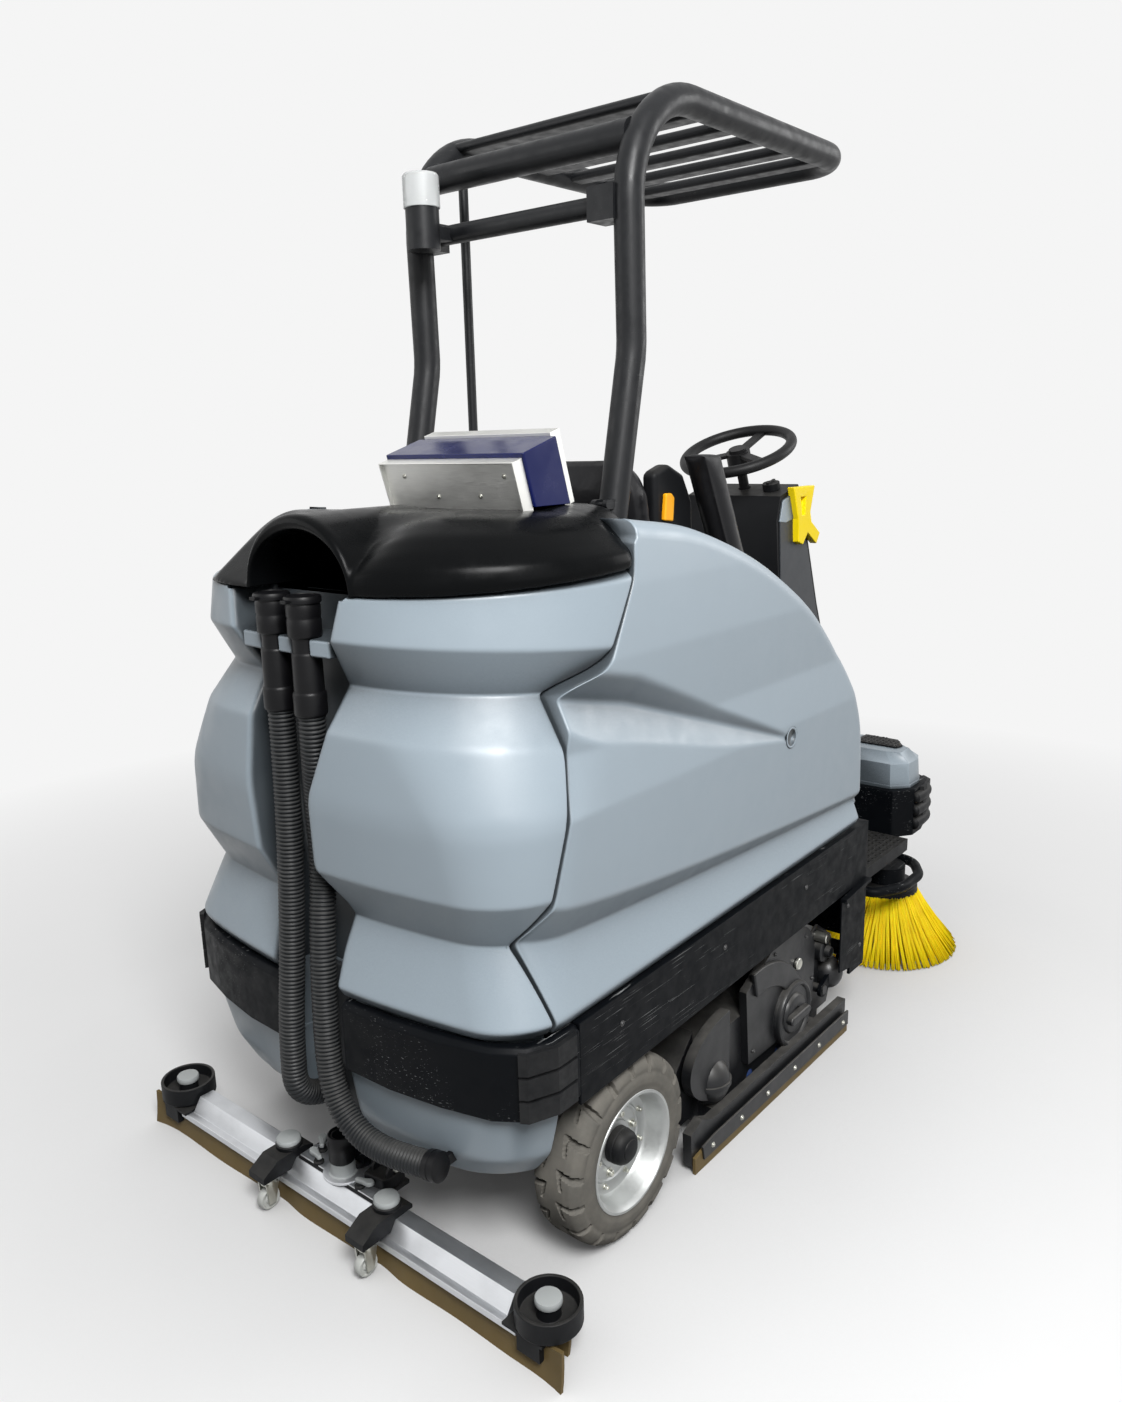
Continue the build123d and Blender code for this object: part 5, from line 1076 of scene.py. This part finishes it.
piece("broom_strands", *broom_strands(), BROOM_YELLOW, "broom_bristles", ("broom_bristles",))
turned("broom_backing", [(34, 176), (96, 174), (97, 178), (96, 184), (34, 184)], "Z", (BROOM_X, BROOM_Y, 0),
       SOFT_BLACK, "broom_bristles", steps=72)

# Seat: cushions filled out by pressure
PAD_VOXEL, PAD_PRESSURE, PAD_FRAMES = 5.0, 4.0, 20


def vertex_rows(mesh, what):
    """One vector of each vertex, such as its place or its normal."""
    rows = np.empty(len(mesh.vertices) * 3)
    mesh.vertices.foreach_get(what, rows)
    return rows.reshape(-1, 3)


def puff(obj, held):
    """Runs cloth with pressure inside and no weight, with some vertices held."""
    obj.vertex_groups.new(name="held").add(np.flatnonzero(held).tolist(), 1.0, "REPLACE")
    cloth = obj.modifiers.new("cloth", "CLOTH").settings
    cloth.quality = 4
    cloth.use_pressure = True
    cloth.uniform_pressure_force = PAD_PRESSURE
    cloth.effector_weights.gravity = 0.0
    cloth.vertex_group_mass = "held"
    for step in range(1, PAD_FRAMES + 1):
        bpy.context.scene.frame_set(step)


def stuffed(node, name, shrink, limit, pinned=None):
    """Cushion from the node's own shape, filled out by pressure, with its hard fittings held."""
    obj = linked(name, NODES[node].data.copy())
    modifier(obj, "REMESH", mode="VOXEL", voxel_size=PAD_VOXEL * MM)
    modifier(obj, "SMOOTH", factor=0.5, iterations=4)
    mesh = settled_mesh(obj)
    before = vertex_rows(mesh, "co")
    held = pinned(machine_frame(before)) if pinned else np.zeros(len(before), bool)
    start = before - vertex_rows(mesh, "normal") * (shrink * MM * ~held)[:, None]
    mesh.vertices.foreach_set("co", start.ravel())
    puff(obj, held)
    mesh = settled_mesh(obj)
    move = vertex_rows(mesh, "co") - before
    size = np.linalg.norm(move, axis=1)[:, None]
    capped = before + move * np.minimum(1, limit * MM / np.maximum(size, 1e-9))
    mesh.vertices.foreach_set("co", capped.ravel())
    bpy.context.scene.frame_set(1)
    adopt(obj, VINYL, node, (node,))
    modifier(obj, "SMOOTH", factor=0.5, iterations=3)
    modifier(obj, "SUBSURF", levels=1, render_levels=1)


def back_fittings(p):
    """The backrest's hinge lugs and the armrest's bracket."""
    return (p[:, 0] > 246) | ((np.abs(p[:, 0]) > 203) & (p[:, 2] < 1140))


stuffed("seat_cushion", "seat_cushion_pad", 5, 8)
stuffed("seat_backrest", "seat_back_pad", 5, 8, back_fittings)
stuffed("armrest", "armrest_pad", 4, 5)


def bulb(radius, half_height, count):
    """Profile of a rounded bulb."""
    return [(radius * math.sin(a), -half_height * math.cos(a))
            for a in np.linspace(0.05, math.pi - 0.05, count)]


# Deck side: strip over each wiper lip
DECK, COVER = (DECK_GREY, "deck_housing"), (DECK_GREY, "belt_cover")
LIP_STRIP = [(256, 24), (250, 58), (300, 64), (970, 64), (970, 24)]
STRIP_IN, STRIP_OUT, STRIP_BOLT_Z = 499.5, 505, 43
for name, side in SIDES:
    solid_outline("lip_strip_" + name, LIP_STRIP, side * STRIP_IN, side * STRIP_OUT, *DECK, width=1.5,
                  axis="X")
    places = [(side * STRIP_OUT, y, STRIP_BOLT_Z) for y in (290, 414, 535, 669, 799, 937)]
    bolts("strip_bolts_" + name, places, (side, 0, 0), 4.2, 4, ZINC, "deck_housing")

# Belt cover: roller cap with its handle, small disc, curved ridge and screws
ROLLER_CAP = [(84, 466), (84, 474), (82, 478), (76, 480), (73, 478), (70, 473), (52, 472), (49, 478),
              (46, 480), (20, 480), (16, 476), (0, 476)]
CAP_GRIP = [(676, 146), (668, 158), (676, 170), (764, 170), (772, 158), (764, 146)]
COVER_SCREWS = [(461, 545, 290), (461, 640, 345), (461, 800, 330), (461, 838, 200), (461, 540, 135)]
turned("roller_cap", ROLLER_CAP, "X", (0, 720, 158), *COVER, steps=72)
solid_outline("roller_cap_grip", CAP_GRIP, 474, 496, *COVER, width=6, axis="X")
turned("cover_disc", [(15, 462), (15, 467), (13, 469), (11, 467.5), (0, 467.5)], "X", (0, 752, 276), ZINC,
       "belt_cover")
ridge = np.linspace(-0.15, 1.15, 16)
crescent = [(560 + 230 * math.sin(a), 128 + 215 * math.cos(a)) for a in ridge]
crescent += [(566 + 170 * math.sin(a), 128 + 150 * math.cos(a)) for a in ridge[::-1]]
solid_outline("cover_ridge", crescent, 456, 470, *COVER, width=5, axis="X")
HOSE_BULB = (438, 372, 140)
turned("deck_bulb", bulb(52, 58, 20), "Z", HOSE_BULB, *DECK, sharp=80)
turned("bulb_band", [(50, -7), (55, -5), (55, 5), (50, 7)], "Z", HOSE_BULB, *DECK)
bolts("cover_bolts", COVER_SCREWS, (1, 0, 0), 3.5, 4, DARK_STEEL, "belt_cover")

# Front of the deck: end plate, bearing cup, tie bar and hose bulb
END_PLATE = [(846, 70), (850, 300), (905, 318), (985, 262), (1000, 150), (968, 70)]
BEARING = [(30, 441), (30, 462), (26, 466), (16, 467), (14, 480), (8, 482), (0, 482)]
solid_outline("deck_end_plate", END_PLATE, 432, 441, *DECK, axis="X")
turned("deck_bearing", BEARING, "X", (0, 905, 250), *DECK)
turned("deck_tie_end", [(13, 441), (13, 474), (11, 476), (0, 476)], "X", (0, 893, 292), ZINC, "deck_housing")
turned("deck_front_bulb", bulb(40, 44, 18), "Z", (452, 945, 172), *DECK, sharp=80)
bolts("end_plate_bolts", [(441, 870, 120), (441, 960, 110), (441, 960, 240)], (1, 0, 0), 4, 4, DARK_STEEL,
      "deck_housing")

# Dark cover in the recess of the lower tank
RECESS_COVER = [(-101, 206), (76, 206), (74, 548), (-104, 548)]
solid_outline("recess_cover", RECESS_COVER, -275, -263, DARK_GREY, "suction_turbine", width=5, axis="Y")

# Side shells of the backrest and the orange tab on the right one
WING = [(446, 1300), (560, 1290), (596, 1340), (592, 1420), (556, 1480), (496, 1506), (440, 1488)]
BACK_TAB = [(464, 1384), (498, 1380), (503, 1432), (492, 1442), (470, 1442)]
WING_IN, WING_OUT = 216, 254
for name, side in SIDES:
    solid_outline("back_side_" + name, WING, side * WING_IN, side * WING_OUT, SOFT_BLACK, "seat_backrest",
                  width=14, axis="X")
solid_outline("back_tab", BACK_TAB, 252, 264, ORANGE, "seat_backrest", width=4, axis="X",
              slot="yellow_plastic")

# Squeegee: rubber blades with flared ends
BLADE_COLUMNS, BLADE_THICK, BLADE_TALL, BLADE_END = 160, 7, 52, 85
BLADE_BOW, BLADE_WAVE, WAVE_LONG, END_SWEEP = 7, 1.6, 47.0, 9
CLAMP_X, CLAMP_REACH, CLAMP_HOLD = 155, 50, 0.9


def blade(name, half, y0, flare, nodes=()):
    """Blade bent back along its foot, held straight at the clamps, its ends swept back where it flares."""
    x = np.linspace(-half, half, BLADE_COLUMNS)
    end = ramp(np.abs(x), half - BLADE_END, BLADE_END)
    heights = (0, 0.25, 0.6, 1)
    corners = [(share, 0) for share in heights] + [(share, BLADE_THICK) for share in heights[::-1]]
    loose = 1 - CLAMP_HOLD * np.exp(-((np.abs(x) - CLAMP_X) / CLAMP_REACH) ** 2)
    rows = []
    for share, thick in corners:
        bow = -BLADE_BOW * (1 - share) ** 2 + BLADE_WAVE * np.sin(x / WAVE_LONG) * (1 - share)
        if flare:
            bow = bow - END_SWEEP * end ** 2
        rows.append(np.stack([x, y0 + thick + bow * loose, share * (BLADE_TALL + flare * end)], axis=1))
    faces, last = [], BLADE_COLUMNS - 1
    starts = [row * BLADE_COLUMNS for row in range(len(rows))]
    for here, there in zip(starts, starts[1:] + starts[:1]):
        faces += [(here + c, here + c + 1, there + c + 1, there + c) for c in range(last)]
    faces += [tuple(start + c for start in starts) for c in (0, last)]
    piece(name, np.concatenate(rows), faces, AMBER, "squeegee_blades", nodes, sharp=40)


blade("blade_rear", 625, -371, 26, ("squeegee_blades",))
blade("blade_front", 585, -311, 0)

# Grey caps on the corner rollers, and plates under the suction stub
ROLLER_TOP = [(24, 110), (25, 112), (25, 119), (23.5, 122), (20, 123), (0, 123.5)]
YOKE_PLATE = [(-119, -344), (119, -344), (119, -304), (98, -258), (-98, -258), (-119, -304)]
FITTINGS = "squeegee_fittings"
for name, side in SIDES:
    turned("deflector_cap_" + name, ROLLER_TOP, "Z", (side * 558, -333, 0), PALE_GREY, "deflector_" + name)
solid_outline("yoke_plate", YOKE_PLATE, 105.5, 108.5, ALUMINIUM, FITTINGS, width=1.2)
turned("stub_plate", [(46, 105), (46, 109), (44, 110.5), (0, 110.5)], "Z", (-2, -318, 0), ALUMINIUM, FITTINGS)

# Hinge block beside the suction stub, with two lugs and their pin
YOKE_BLOCK = [(60, -322), (112, -316), (120, -296), (120, -262), (64, -260), (56, -290)]
YOKE_LUG = [(-306, 130), (-306, 142), (-298, 154), (-286, 160), (-274, 156), (-266, 144), (-266, 130)]
YOKE_PIN = [(0, 57), (6, 57.5), (6, 63), (4.5, 64), (4.5, 117), (7, 117.5), (7, 122), (5.5, 123.5), (0, 124)]
LUG_THICK = 7
solid_outline("yoke_block", YOKE_BLOCK, 108, 134, SOFT_BLACK, FITTINGS, width=4)
for name, x in (("inner", 66), ("outer", 108)):
    solid_outline("yoke_lug_" + name, YOKE_LUG, x, x + LUG_THICK, SOFT_BLACK, FITTINGS, width=1.5, axis="X")
turned("yoke_pin", YOKE_PIN, "X", (0, -286, 147), ZINC, FITTINGS, steps=24)

# Clamp knobs and caster wheels
KNOB_BASE = [(0, 115), (27, 115), (28, 117), (28, 124), (26, 126), (0, 126)]
KNOB_CAP = [(0, 125), (25, 125), (26, 127), (26, 133), (24, 136), (17, 138), (0, 139)]
CASTER = [(5, -9), (9, -9), (12, -6), (17, -6), (19, -9), (22, -9), (24.5, -5), (24.5, 5), (22, 9), (19, 9),
          (17, 6), (12, 6), (9, 9), (5, 9)]
for name, side in SIDES:
    node, place = "clamp_knob_" + name, (side * CLAMP_X, -344, 0)
    turned("knob_base_" + name, KNOB_BASE, "Z", place, SOFT_BLACK, node, (node,))
    turned("knob_cap_" + name, KNOB_CAP, "Z", place, PALE_GREY, node)
    node = "caster_wheel_" + name
    low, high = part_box(node)
    turned("caster_tread_" + name, CASTER, "X", machine_frame((low + high) / 2), CASTER_WHITE, node, (node,))

# Suction stub with its sleeve, and wing nuts on studs
STUB_PLACE = (-2, -324, 0)
SLEEVE = [(24, 138), (26, 139), (27, 142), (26.5, 166), (27.5, 168), (27, 196), (25, 199), (22, 199),
          (21, 160)]
WING_NUT = [(-9, -5), (9, -6), (24, -10), (33, -4), (33, 5), (24, 10), (9, 6), (-9, 5)]
WING_STUD = [(11, 105), (11, 112), (8, 114), (8, 119), (0, 119)]
turned("suction_ring", [(30, 106), (30, 110), (26, 113), (25.5, 138), (20, 138)], "Z", STUB_PLACE, PALE_GREY,
       FITTINGS)
turned("suction_sleeve", SLEEVE, "Z", STUB_PLACE, CUFF_BLACK, FITTINGS)
for k, (x, y, turn) in enumerate(((-66, -336, 2.9), (-92, -306, 2.4), (62, -334, 0.3))):
    solid_outline(f"wing_nut_{k}", spun(WING_NUT, x, y, turn), 118, 128, PALE_GREY, FITTINGS, width=3.5)
    turned(f"wing_stud_{k}", WING_STUD, "Z", (x, y, 0), SOFT_BLACK, FITTINGS, steps=24)

# Equipment box: shallow stainless trays with rolled edges and screws, leaning with the casing
BOX_BASE, BOX_LEAN, BOX_SINK = np.array((136.0, 25.0, 1447.0)), math.radians(17), 24.0
TRAY_FACE, TRAY_BACK, TRAY_EDGE, TRAY_DEEP = 77, 49.5, 2.4, 9


def in_box(points):
    """Points drawn on the upright box, leaned back and set on the lid."""
    x, y, z = np.asarray(points, float).T
    z = z - BOX_SINK
    c, s = math.cos(BOX_LEAN), math.sin(BOX_LEAN)
    return np.stack([x, y * c - z * s, y * s + z * c], axis=1) + BOX_BASE


def tray(name, half, way, tall, nodes=()):
    """Open tray: floor sheet set back by a shallow wall all round, facing front (1) or rear (-1)."""
    face, back, edge = way * TRAY_FACE, way * TRAY_BACK, TRAY_EDGE
    frames = [(back, 0), (face, 0), (face, edge), (face - way * TRAY_DEEP, edge)]
    points = [p for y, d in frames
              for p in ((d - half, y, d), (half - d, y, d), (half - d, y, tall - d), (d - half, y, tall - d))]
    made = piece(name, in_box(points), tube_faces(4, 4), STAINLESS, "box_trays", nodes, sharp=30)
    bevel(made, 0.9, 2, math.degrees(0.6))


tray("tray_rear", 175, -1, 128, ("box_trays",))
tray("tray_front", 165, 1, 142)
TRAY_SCREWS = [(-120, -68, 100), (-40, -68, 60), (70, -68, 62), (140, -68, 100)]
rearwards, = np.diff(in_box([(0, 0, 0), (0, -1, 0)]), axis=0)
bolts("tray_screws", in_box(TRAY_SCREWS), rearwards, 3.0, 2.5, ZINC, "box_trays")

# Raised studs on the nose pads and the tread plate
STUD = [(9, 0), (5, 3), (-5, 3), (-9, 0), (-5, -3), (5, -3)]
STUD_TALL, STUD_TAPER, STUD_TURN = 2.2, 0.7, 0.8
PAD = [(196, 1646), (326, 1646), (330, 1670), (296, 1716), (196, 1722)]
PAD_TOP, TREAD_TOP = 607, 356


def studs(name, spots, z):
    parts = []
    for k, (x, y) in enumerate(spots):
        turn = STUD_TURN if k % 2 else -STUD_TURN
        points = [(a, b, z + rise) for rise, scale in ((0, 1.0), (STUD_TALL, STUD_TAPER))
                  for a, b in spun(STUD, x, y, turn, scale)]
        parts.append((points, tube_faces(2, len(STUD))))
    piece(name, *merged(parts), SOFT_BLACK, "floor_plates", smooth=False)


def inside(x, y, outline):
    hits = [(a[1] > y) != (b[1] > y) and x < a[0] + (y - a[1]) * (b[0] - a[0]) / (b[1] - a[1])
            for a, b in zip(outline, outline[1:] + outline[:1])]
    return sum(hits) % 2 == 1


pad = [(x, y) for x in np.arange(190, 340, 15) for y in np.arange(1640, 1730, 11) if inside(x, y, PAD)]
tread = [(x, y) for x in np.arange(166, 412, 17) for y in np.arange(1076, 1530, 13)
         if y > 1425 or not 160 < x < 275]
for kind, spots, top in (("pad_studs_", pad, PAD_TOP), ("tread_studs_", tread, TREAD_TOP)):
    for name, side in SIDES:
        studs(kind + name, [(side * x, y) for x, y in spots], top)

# Front bumper: rounded ribs round its corners
RIB_LINE = [(412, 1600), (412, 1664), (399, 1722), (336, 1780)]
RIB_R, RIB_TALLER, RIB_STEPS = 15.0, 1.2, 40
for name, side in SIDES:
    parts = []
    for z in (383, 424, 465):
        path = through(np.array([(side * x, y, z) for x, y in RIB_LINE], float), RIB_STEPS)
        points, faces = sweep(path, np.full(RIB_STEPS, RIB_R), 16)
        points = np.array(points)
        points[:, 2] = z + (points[:, 2] - z) * RIB_TALLER
        parts.append((points, faces))
    piece("nose_ribs_" + name, *merged(parts), SOFT_BLACK, "front_bumper")

# Tower: grey side plates and caps
TOWER_SIDE = [(1222, 760), (1186, 1322), (1200, 1380), (1284, 1404), (1304, 1380), (1368, 1196), (1416, 1064),
              (1530, 800), (1540, 760)]
TOWER_CAP = [(1182, 1326), (1198, 1384), (1286, 1410), (1310, 1382), (1332, 1322), (1292, 1336), (1216, 1322)]
TOWER = "steering_tower"
for name, side in SIDES:
    solid_outline("tower_side_" + name, TOWER_SIDE, side * 149.5, side * 154, TOWER_DARK, TOWER, axis="X")
    solid_outline("tower_cap_" + name, TOWER_CAP, side * 146, side * 156, GREY_BODY, TOWER, axis="X",
                  slot="grey_moulding")

# Plate over each rail's front leg with a bent lip, and the web that ties the leg to the frame
RAIL = (PAINT_BLACK, "side_rails")
LEG_PLATE = [(896, 204), (1040, 182), (1040, 414), (896, 402)]
LEG_LIP = [(894, 400), (1042, 412), (1042, 422), (894, 410)]
LEG_WEB = [(318, 242), (497, 242), (497, 470), (318, 470)]
LEG_IN, LEG_OUT, LIP_OUT = 505, 509, 522
for name, side in SIDES:
    for kind, outline, out in (("leg_plate_", LEG_PLATE, LEG_OUT), ("leg_lip_", LEG_LIP, LIP_OUT)):
        solid_outline(kind + name, outline, side * LEG_IN, side * out, *RAIL, width=1.2, axis="X")
    web = [(side * x, z) for x, z in LEG_WEB]
    solid_outline("leg_web_" + name, web, 1034, 1040, *RAIL, width=1, axis="Y")

# Bolts on the bumper and the rails
BUMPER_BOLTS = ((230, 425), (318, 428), (-230, 425), (-318, 428))
places = [(x, BODY_REAR + 1 + x * x / (2 * BOW_R), z) for x, z in BUMPER_BOLTS]
bolts("bumper_bolts", places, (0, -1, 0), 4, 3, DARK_STEEL, "rear_bumper")
for name, side in SIDES:
    places = [(side * 506, y, rail_top(y) - 60) for y in (-40, 330, 700)]
    places += [(side * LEG_OUT, y, z) for y, z in ((930, 380), (1012, 240))]
    bolts("rail_bolts_" + name, places, (side, 0, 0), 4, 3, DARK_STEEL, "side_rails")

# Pieces whose solids have the right shape, with softened edges
for node, material, width in (
        ("side_rails", PAINT_BLACK, 2), ("rear_bumper", PAINT_BLACK, 4), ("front_bumper", PAINT_BLACK, 4),
        ("corner_buffers", BUFFER_RUBBER, 2), ("box_casing", BOX_BLUE, 2), ("roof_frame", ROOF_BLACK, 2),
        ("seat_console", SOFT_BLACK, 8), ("seat_base", SOFT_BLACK, 3), ("steering_tower", SOFT_BLACK, 8),
        ("nose_cap", GREY_BODY, 6), ("floor_plates", SOFT_BLACK, 1.5), ("mop_hook", YELLOW, 3),
        ("steering_wheel", GRIP, 2), ("accelerator_pedal", GRIP, 2), ("brake_pedal", GRIP, 2),
        ("program_dial", SOFT_BLACK, 1.5), ("emergency_stop", RED, 2), ("deck_housing", DECK_GREY, 2),
        ("belt_cover", DECK_GREY, 4), ("side_lips", AMBER, 1), ("deck_arms", PAINT_BLACK, 2),
        ("broom_arm", PAINT_BLACK, 2), ("broom_hub", SOFT_BLACK, 2), ("squeegee_arm", PAINT_BLACK, 2),
        ("squeegee_rail", ALUMINIUM, 1.2), ("squeegee_fittings", SOFT_BLACK, 4),
        ("caster_fork_right", ZINC, 0.8), ("caster_fork_left", ZINC, 0.8),
        ("deflector_right", SOFT_BLACK, 2), ("deflector_left", SOFT_BLACK, 2),
        ("front_wheel", TYRE, 3), ("beacon_lens", LENS, 1)):
    rounded(node, material, width)

# Pieces that are hidden inside
for node, material in (("chassis_frame", PAINT_BLACK), ("front_fork", PAINT_BLACK), ("battery_pack", BATTERY),
                       ("suction_turbine", SOFT_BLACK), ("brush_roller_rear", BRUSH_BLUE),
                       ("brush_roller_front", BRUSH_BLUE)):
    dress(node, material)


# Studio: pale floor, even backdrop and soft lamps
def seen_by(tree):
    """1 for rays that show the backdrop: camera, glossy and transmission rays."""
    path = tree.nodes.new("ShaderNodeLightPath")
    share = path.outputs["Is Camera Ray"]
    for kind in ("Is Glossy Ray", "Is Transmission Ray"):
        either = tree.nodes.new("ShaderNodeMath")
        either.operation = "MAXIMUM"
        tree.links.new(share, either.inputs[0])
        tree.links.new(path.outputs[kind], either.inputs[1])
        share = either.outputs[0]
    return share


def blend(tree, share, a, b):
    """Shader a where share is 0, shader b where it is 1."""
    made = tree.nodes.new("ShaderNodeMixShader")
    tree.links.new(share, made.inputs["Fac"])
    tree.links.new(a, made.inputs[1])
    tree.links.new(b, made.inputs[2])
    return made.outputs[0]


BACKDROP = srgb(245, 245, 245)
FLOOR_HALF, FADE_START, FADE_END = 14.0, 1.5, 3.6
# FLOOR_DIM is the floor's colour for other rays; the second value is how far the painted contact shadow
# reaches
FLOOR_DIM, PAINTED_SHADOW_REACH = 0.06, 0.8
WORLD_LIGHT = 0.09
# Lamps: place, aim, size and power
LAMPS = {"key": ((3.0, -2.7, 4.3), (0, -0.2, 0.8), 1.8, 350.0),
         "right": ((4.4, -1.8, 2.2), (0, 0, 0.8), 2.4, 14.0),
         "left": ((-3.4, -3.9, 2.6), (0, -0.5, 0.9), 2.6, 26.0),
         "front": ((3.2, 4.6, 3.0), (0, 0, 0.8), 2.6, 90.0)}


def floor_material():
    """Pale floor that fades into the backdrop far out, and gives little light back from below. Its glow is
    dimmed by occlusion near the machine, a painted contact shadow.
    """
    surface = Finish("floor_pale", srgb(240, 240, 240), 0.8, gloss=0.1)
    tree = surface.tree
    surface.set("Base Color", surface.mix(surface.noise(2.0), srgb(180, 180, 180), srgb(184, 184, 184)))
    far = surface.node("ShaderNodeEmission", {"Color": (*BACKDROP, 1)})
    dim = surface.node("ShaderNodeBsdfDiffuse", {"Color": (FLOOR_DIM, FLOOR_DIM, FLOOR_DIM, 1)})
    distance = surface.node("ShaderNodeVectorMath", {0: surface.place}, operation="LENGTH").outputs["Value"]
    # painted contact shadow: the glow fades where the machine occludes the floor
    painted_contact_shadow = surface.remap(surface.openness(PAINTED_SHADOW_REACH, 16), 0.15, 1.0, 0.02, 0.39)
    glow = surface.node("ShaderNodeEmission", {"Strength": painted_contact_shadow})
    near = surface.node("ShaderNodeAddShader", {0: surface.shader.outputs[0], 1: glow.outputs[0]})
    fade = surface.remap(distance, FADE_START, FADE_END)
    shown = blend(tree, fade, near.outputs[0], far.outputs[0])
    surface_in = tree.nodes["Material Output"].inputs["Surface"]
    tree.links.new(blend(tree, seen_by(tree), dim.outputs[0], shown), surface_in)
    return surface.material


def lay_floor():
    floor = bpy.data.meshes.new("floor")
    corners = [(x * FLOOR_HALF, y * FLOOR_HALF, 0) for x, y in ((-1, -1), (1, -1), (1, 1), (-1, 1))]
    floor.from_pydata(corners, [], [(0, 1, 2, 3)])
    floor.materials.append(floor_material())
    ground = linked("floor", floor)


def set_world():
    world = bpy.data.worlds.new("studio")
    bpy.context.scene.world = world
    world.use_nodes = True
    tree = world.node_tree
    shown = tree.nodes["Background"]
    shown.inputs["Color"].default_value = (*BACKDROP, 1)
    shown.inputs["Strength"].default_value = 1.0
    light = tree.nodes.new("ShaderNodeBackground")
    light.inputs["Color"].default_value = (1, 1, 1, 1)
    light.inputs["Strength"].default_value = WORLD_LIGHT
    surface_in = tree.nodes["World Output"].inputs["Surface"]
    tree.links.new(blend(tree, seen_by(tree), light.outputs[0], shown.outputs[0]), surface_in)


def hang_lamps():
    for name, (place, aim, size, power) in LAMPS.items():
        lamp = bpy.data.lights.new(name, "AREA")
        lamp.size = size
        lamp.energy = power
        obj = linked(name, lamp)
        obj.location = place
        obj.rotation_euler = (Vector(aim) - Vector(place)).to_track_quat("-Z", "Y").to_euler()


# Camera, as solved from the photograph
CAMERA_PLACE = (1614.17, -1526.05, 1561.12)
CAMERA_AZIMUTH, CAMERA_PITCH, CAMERA_ROLL = 39.7946, 13.482, 1.4553
FOCAL_PIXELS, IMAGE_HEIGHT, SENSOR = 1089.77, 1402, 36.0


def place_camera():
    a, p, r = (math.radians(v) for v in (CAMERA_AZIMUTH, CAMERA_PITCH, CAMERA_ROLL))
    forward = Vector((-math.sin(a) * math.cos(p), math.cos(a) * math.cos(p), -math.sin(p)))
    right = forward.cross(Vector((0, 0, 1))).normalized()
    up = right.cross(forward)
    rolled_right = right * math.cos(r) - up * math.sin(r)
    rolled_up = right * math.sin(r) + up * math.cos(r)
    camera = bpy.data.cameras.new("camera")
    camera.sensor_width = SENSOR
    camera.lens = FOCAL_PIXELS * SENSOR / IMAGE_HEIGHT
    obj = linked("camera", camera)
    turn = Matrix((rolled_right, rolled_up, -forward)).transposed()
    obj.matrix_world = Matrix.Translation(row_frame(CAMERA_PLACE)) @ turn.to_4x4()
    bpy.context.scene.camera = obj


lay_floor()
set_world()
hang_lamps()
place_camera()
bpy.context.scene.view_settings.view_transform = "Standard"
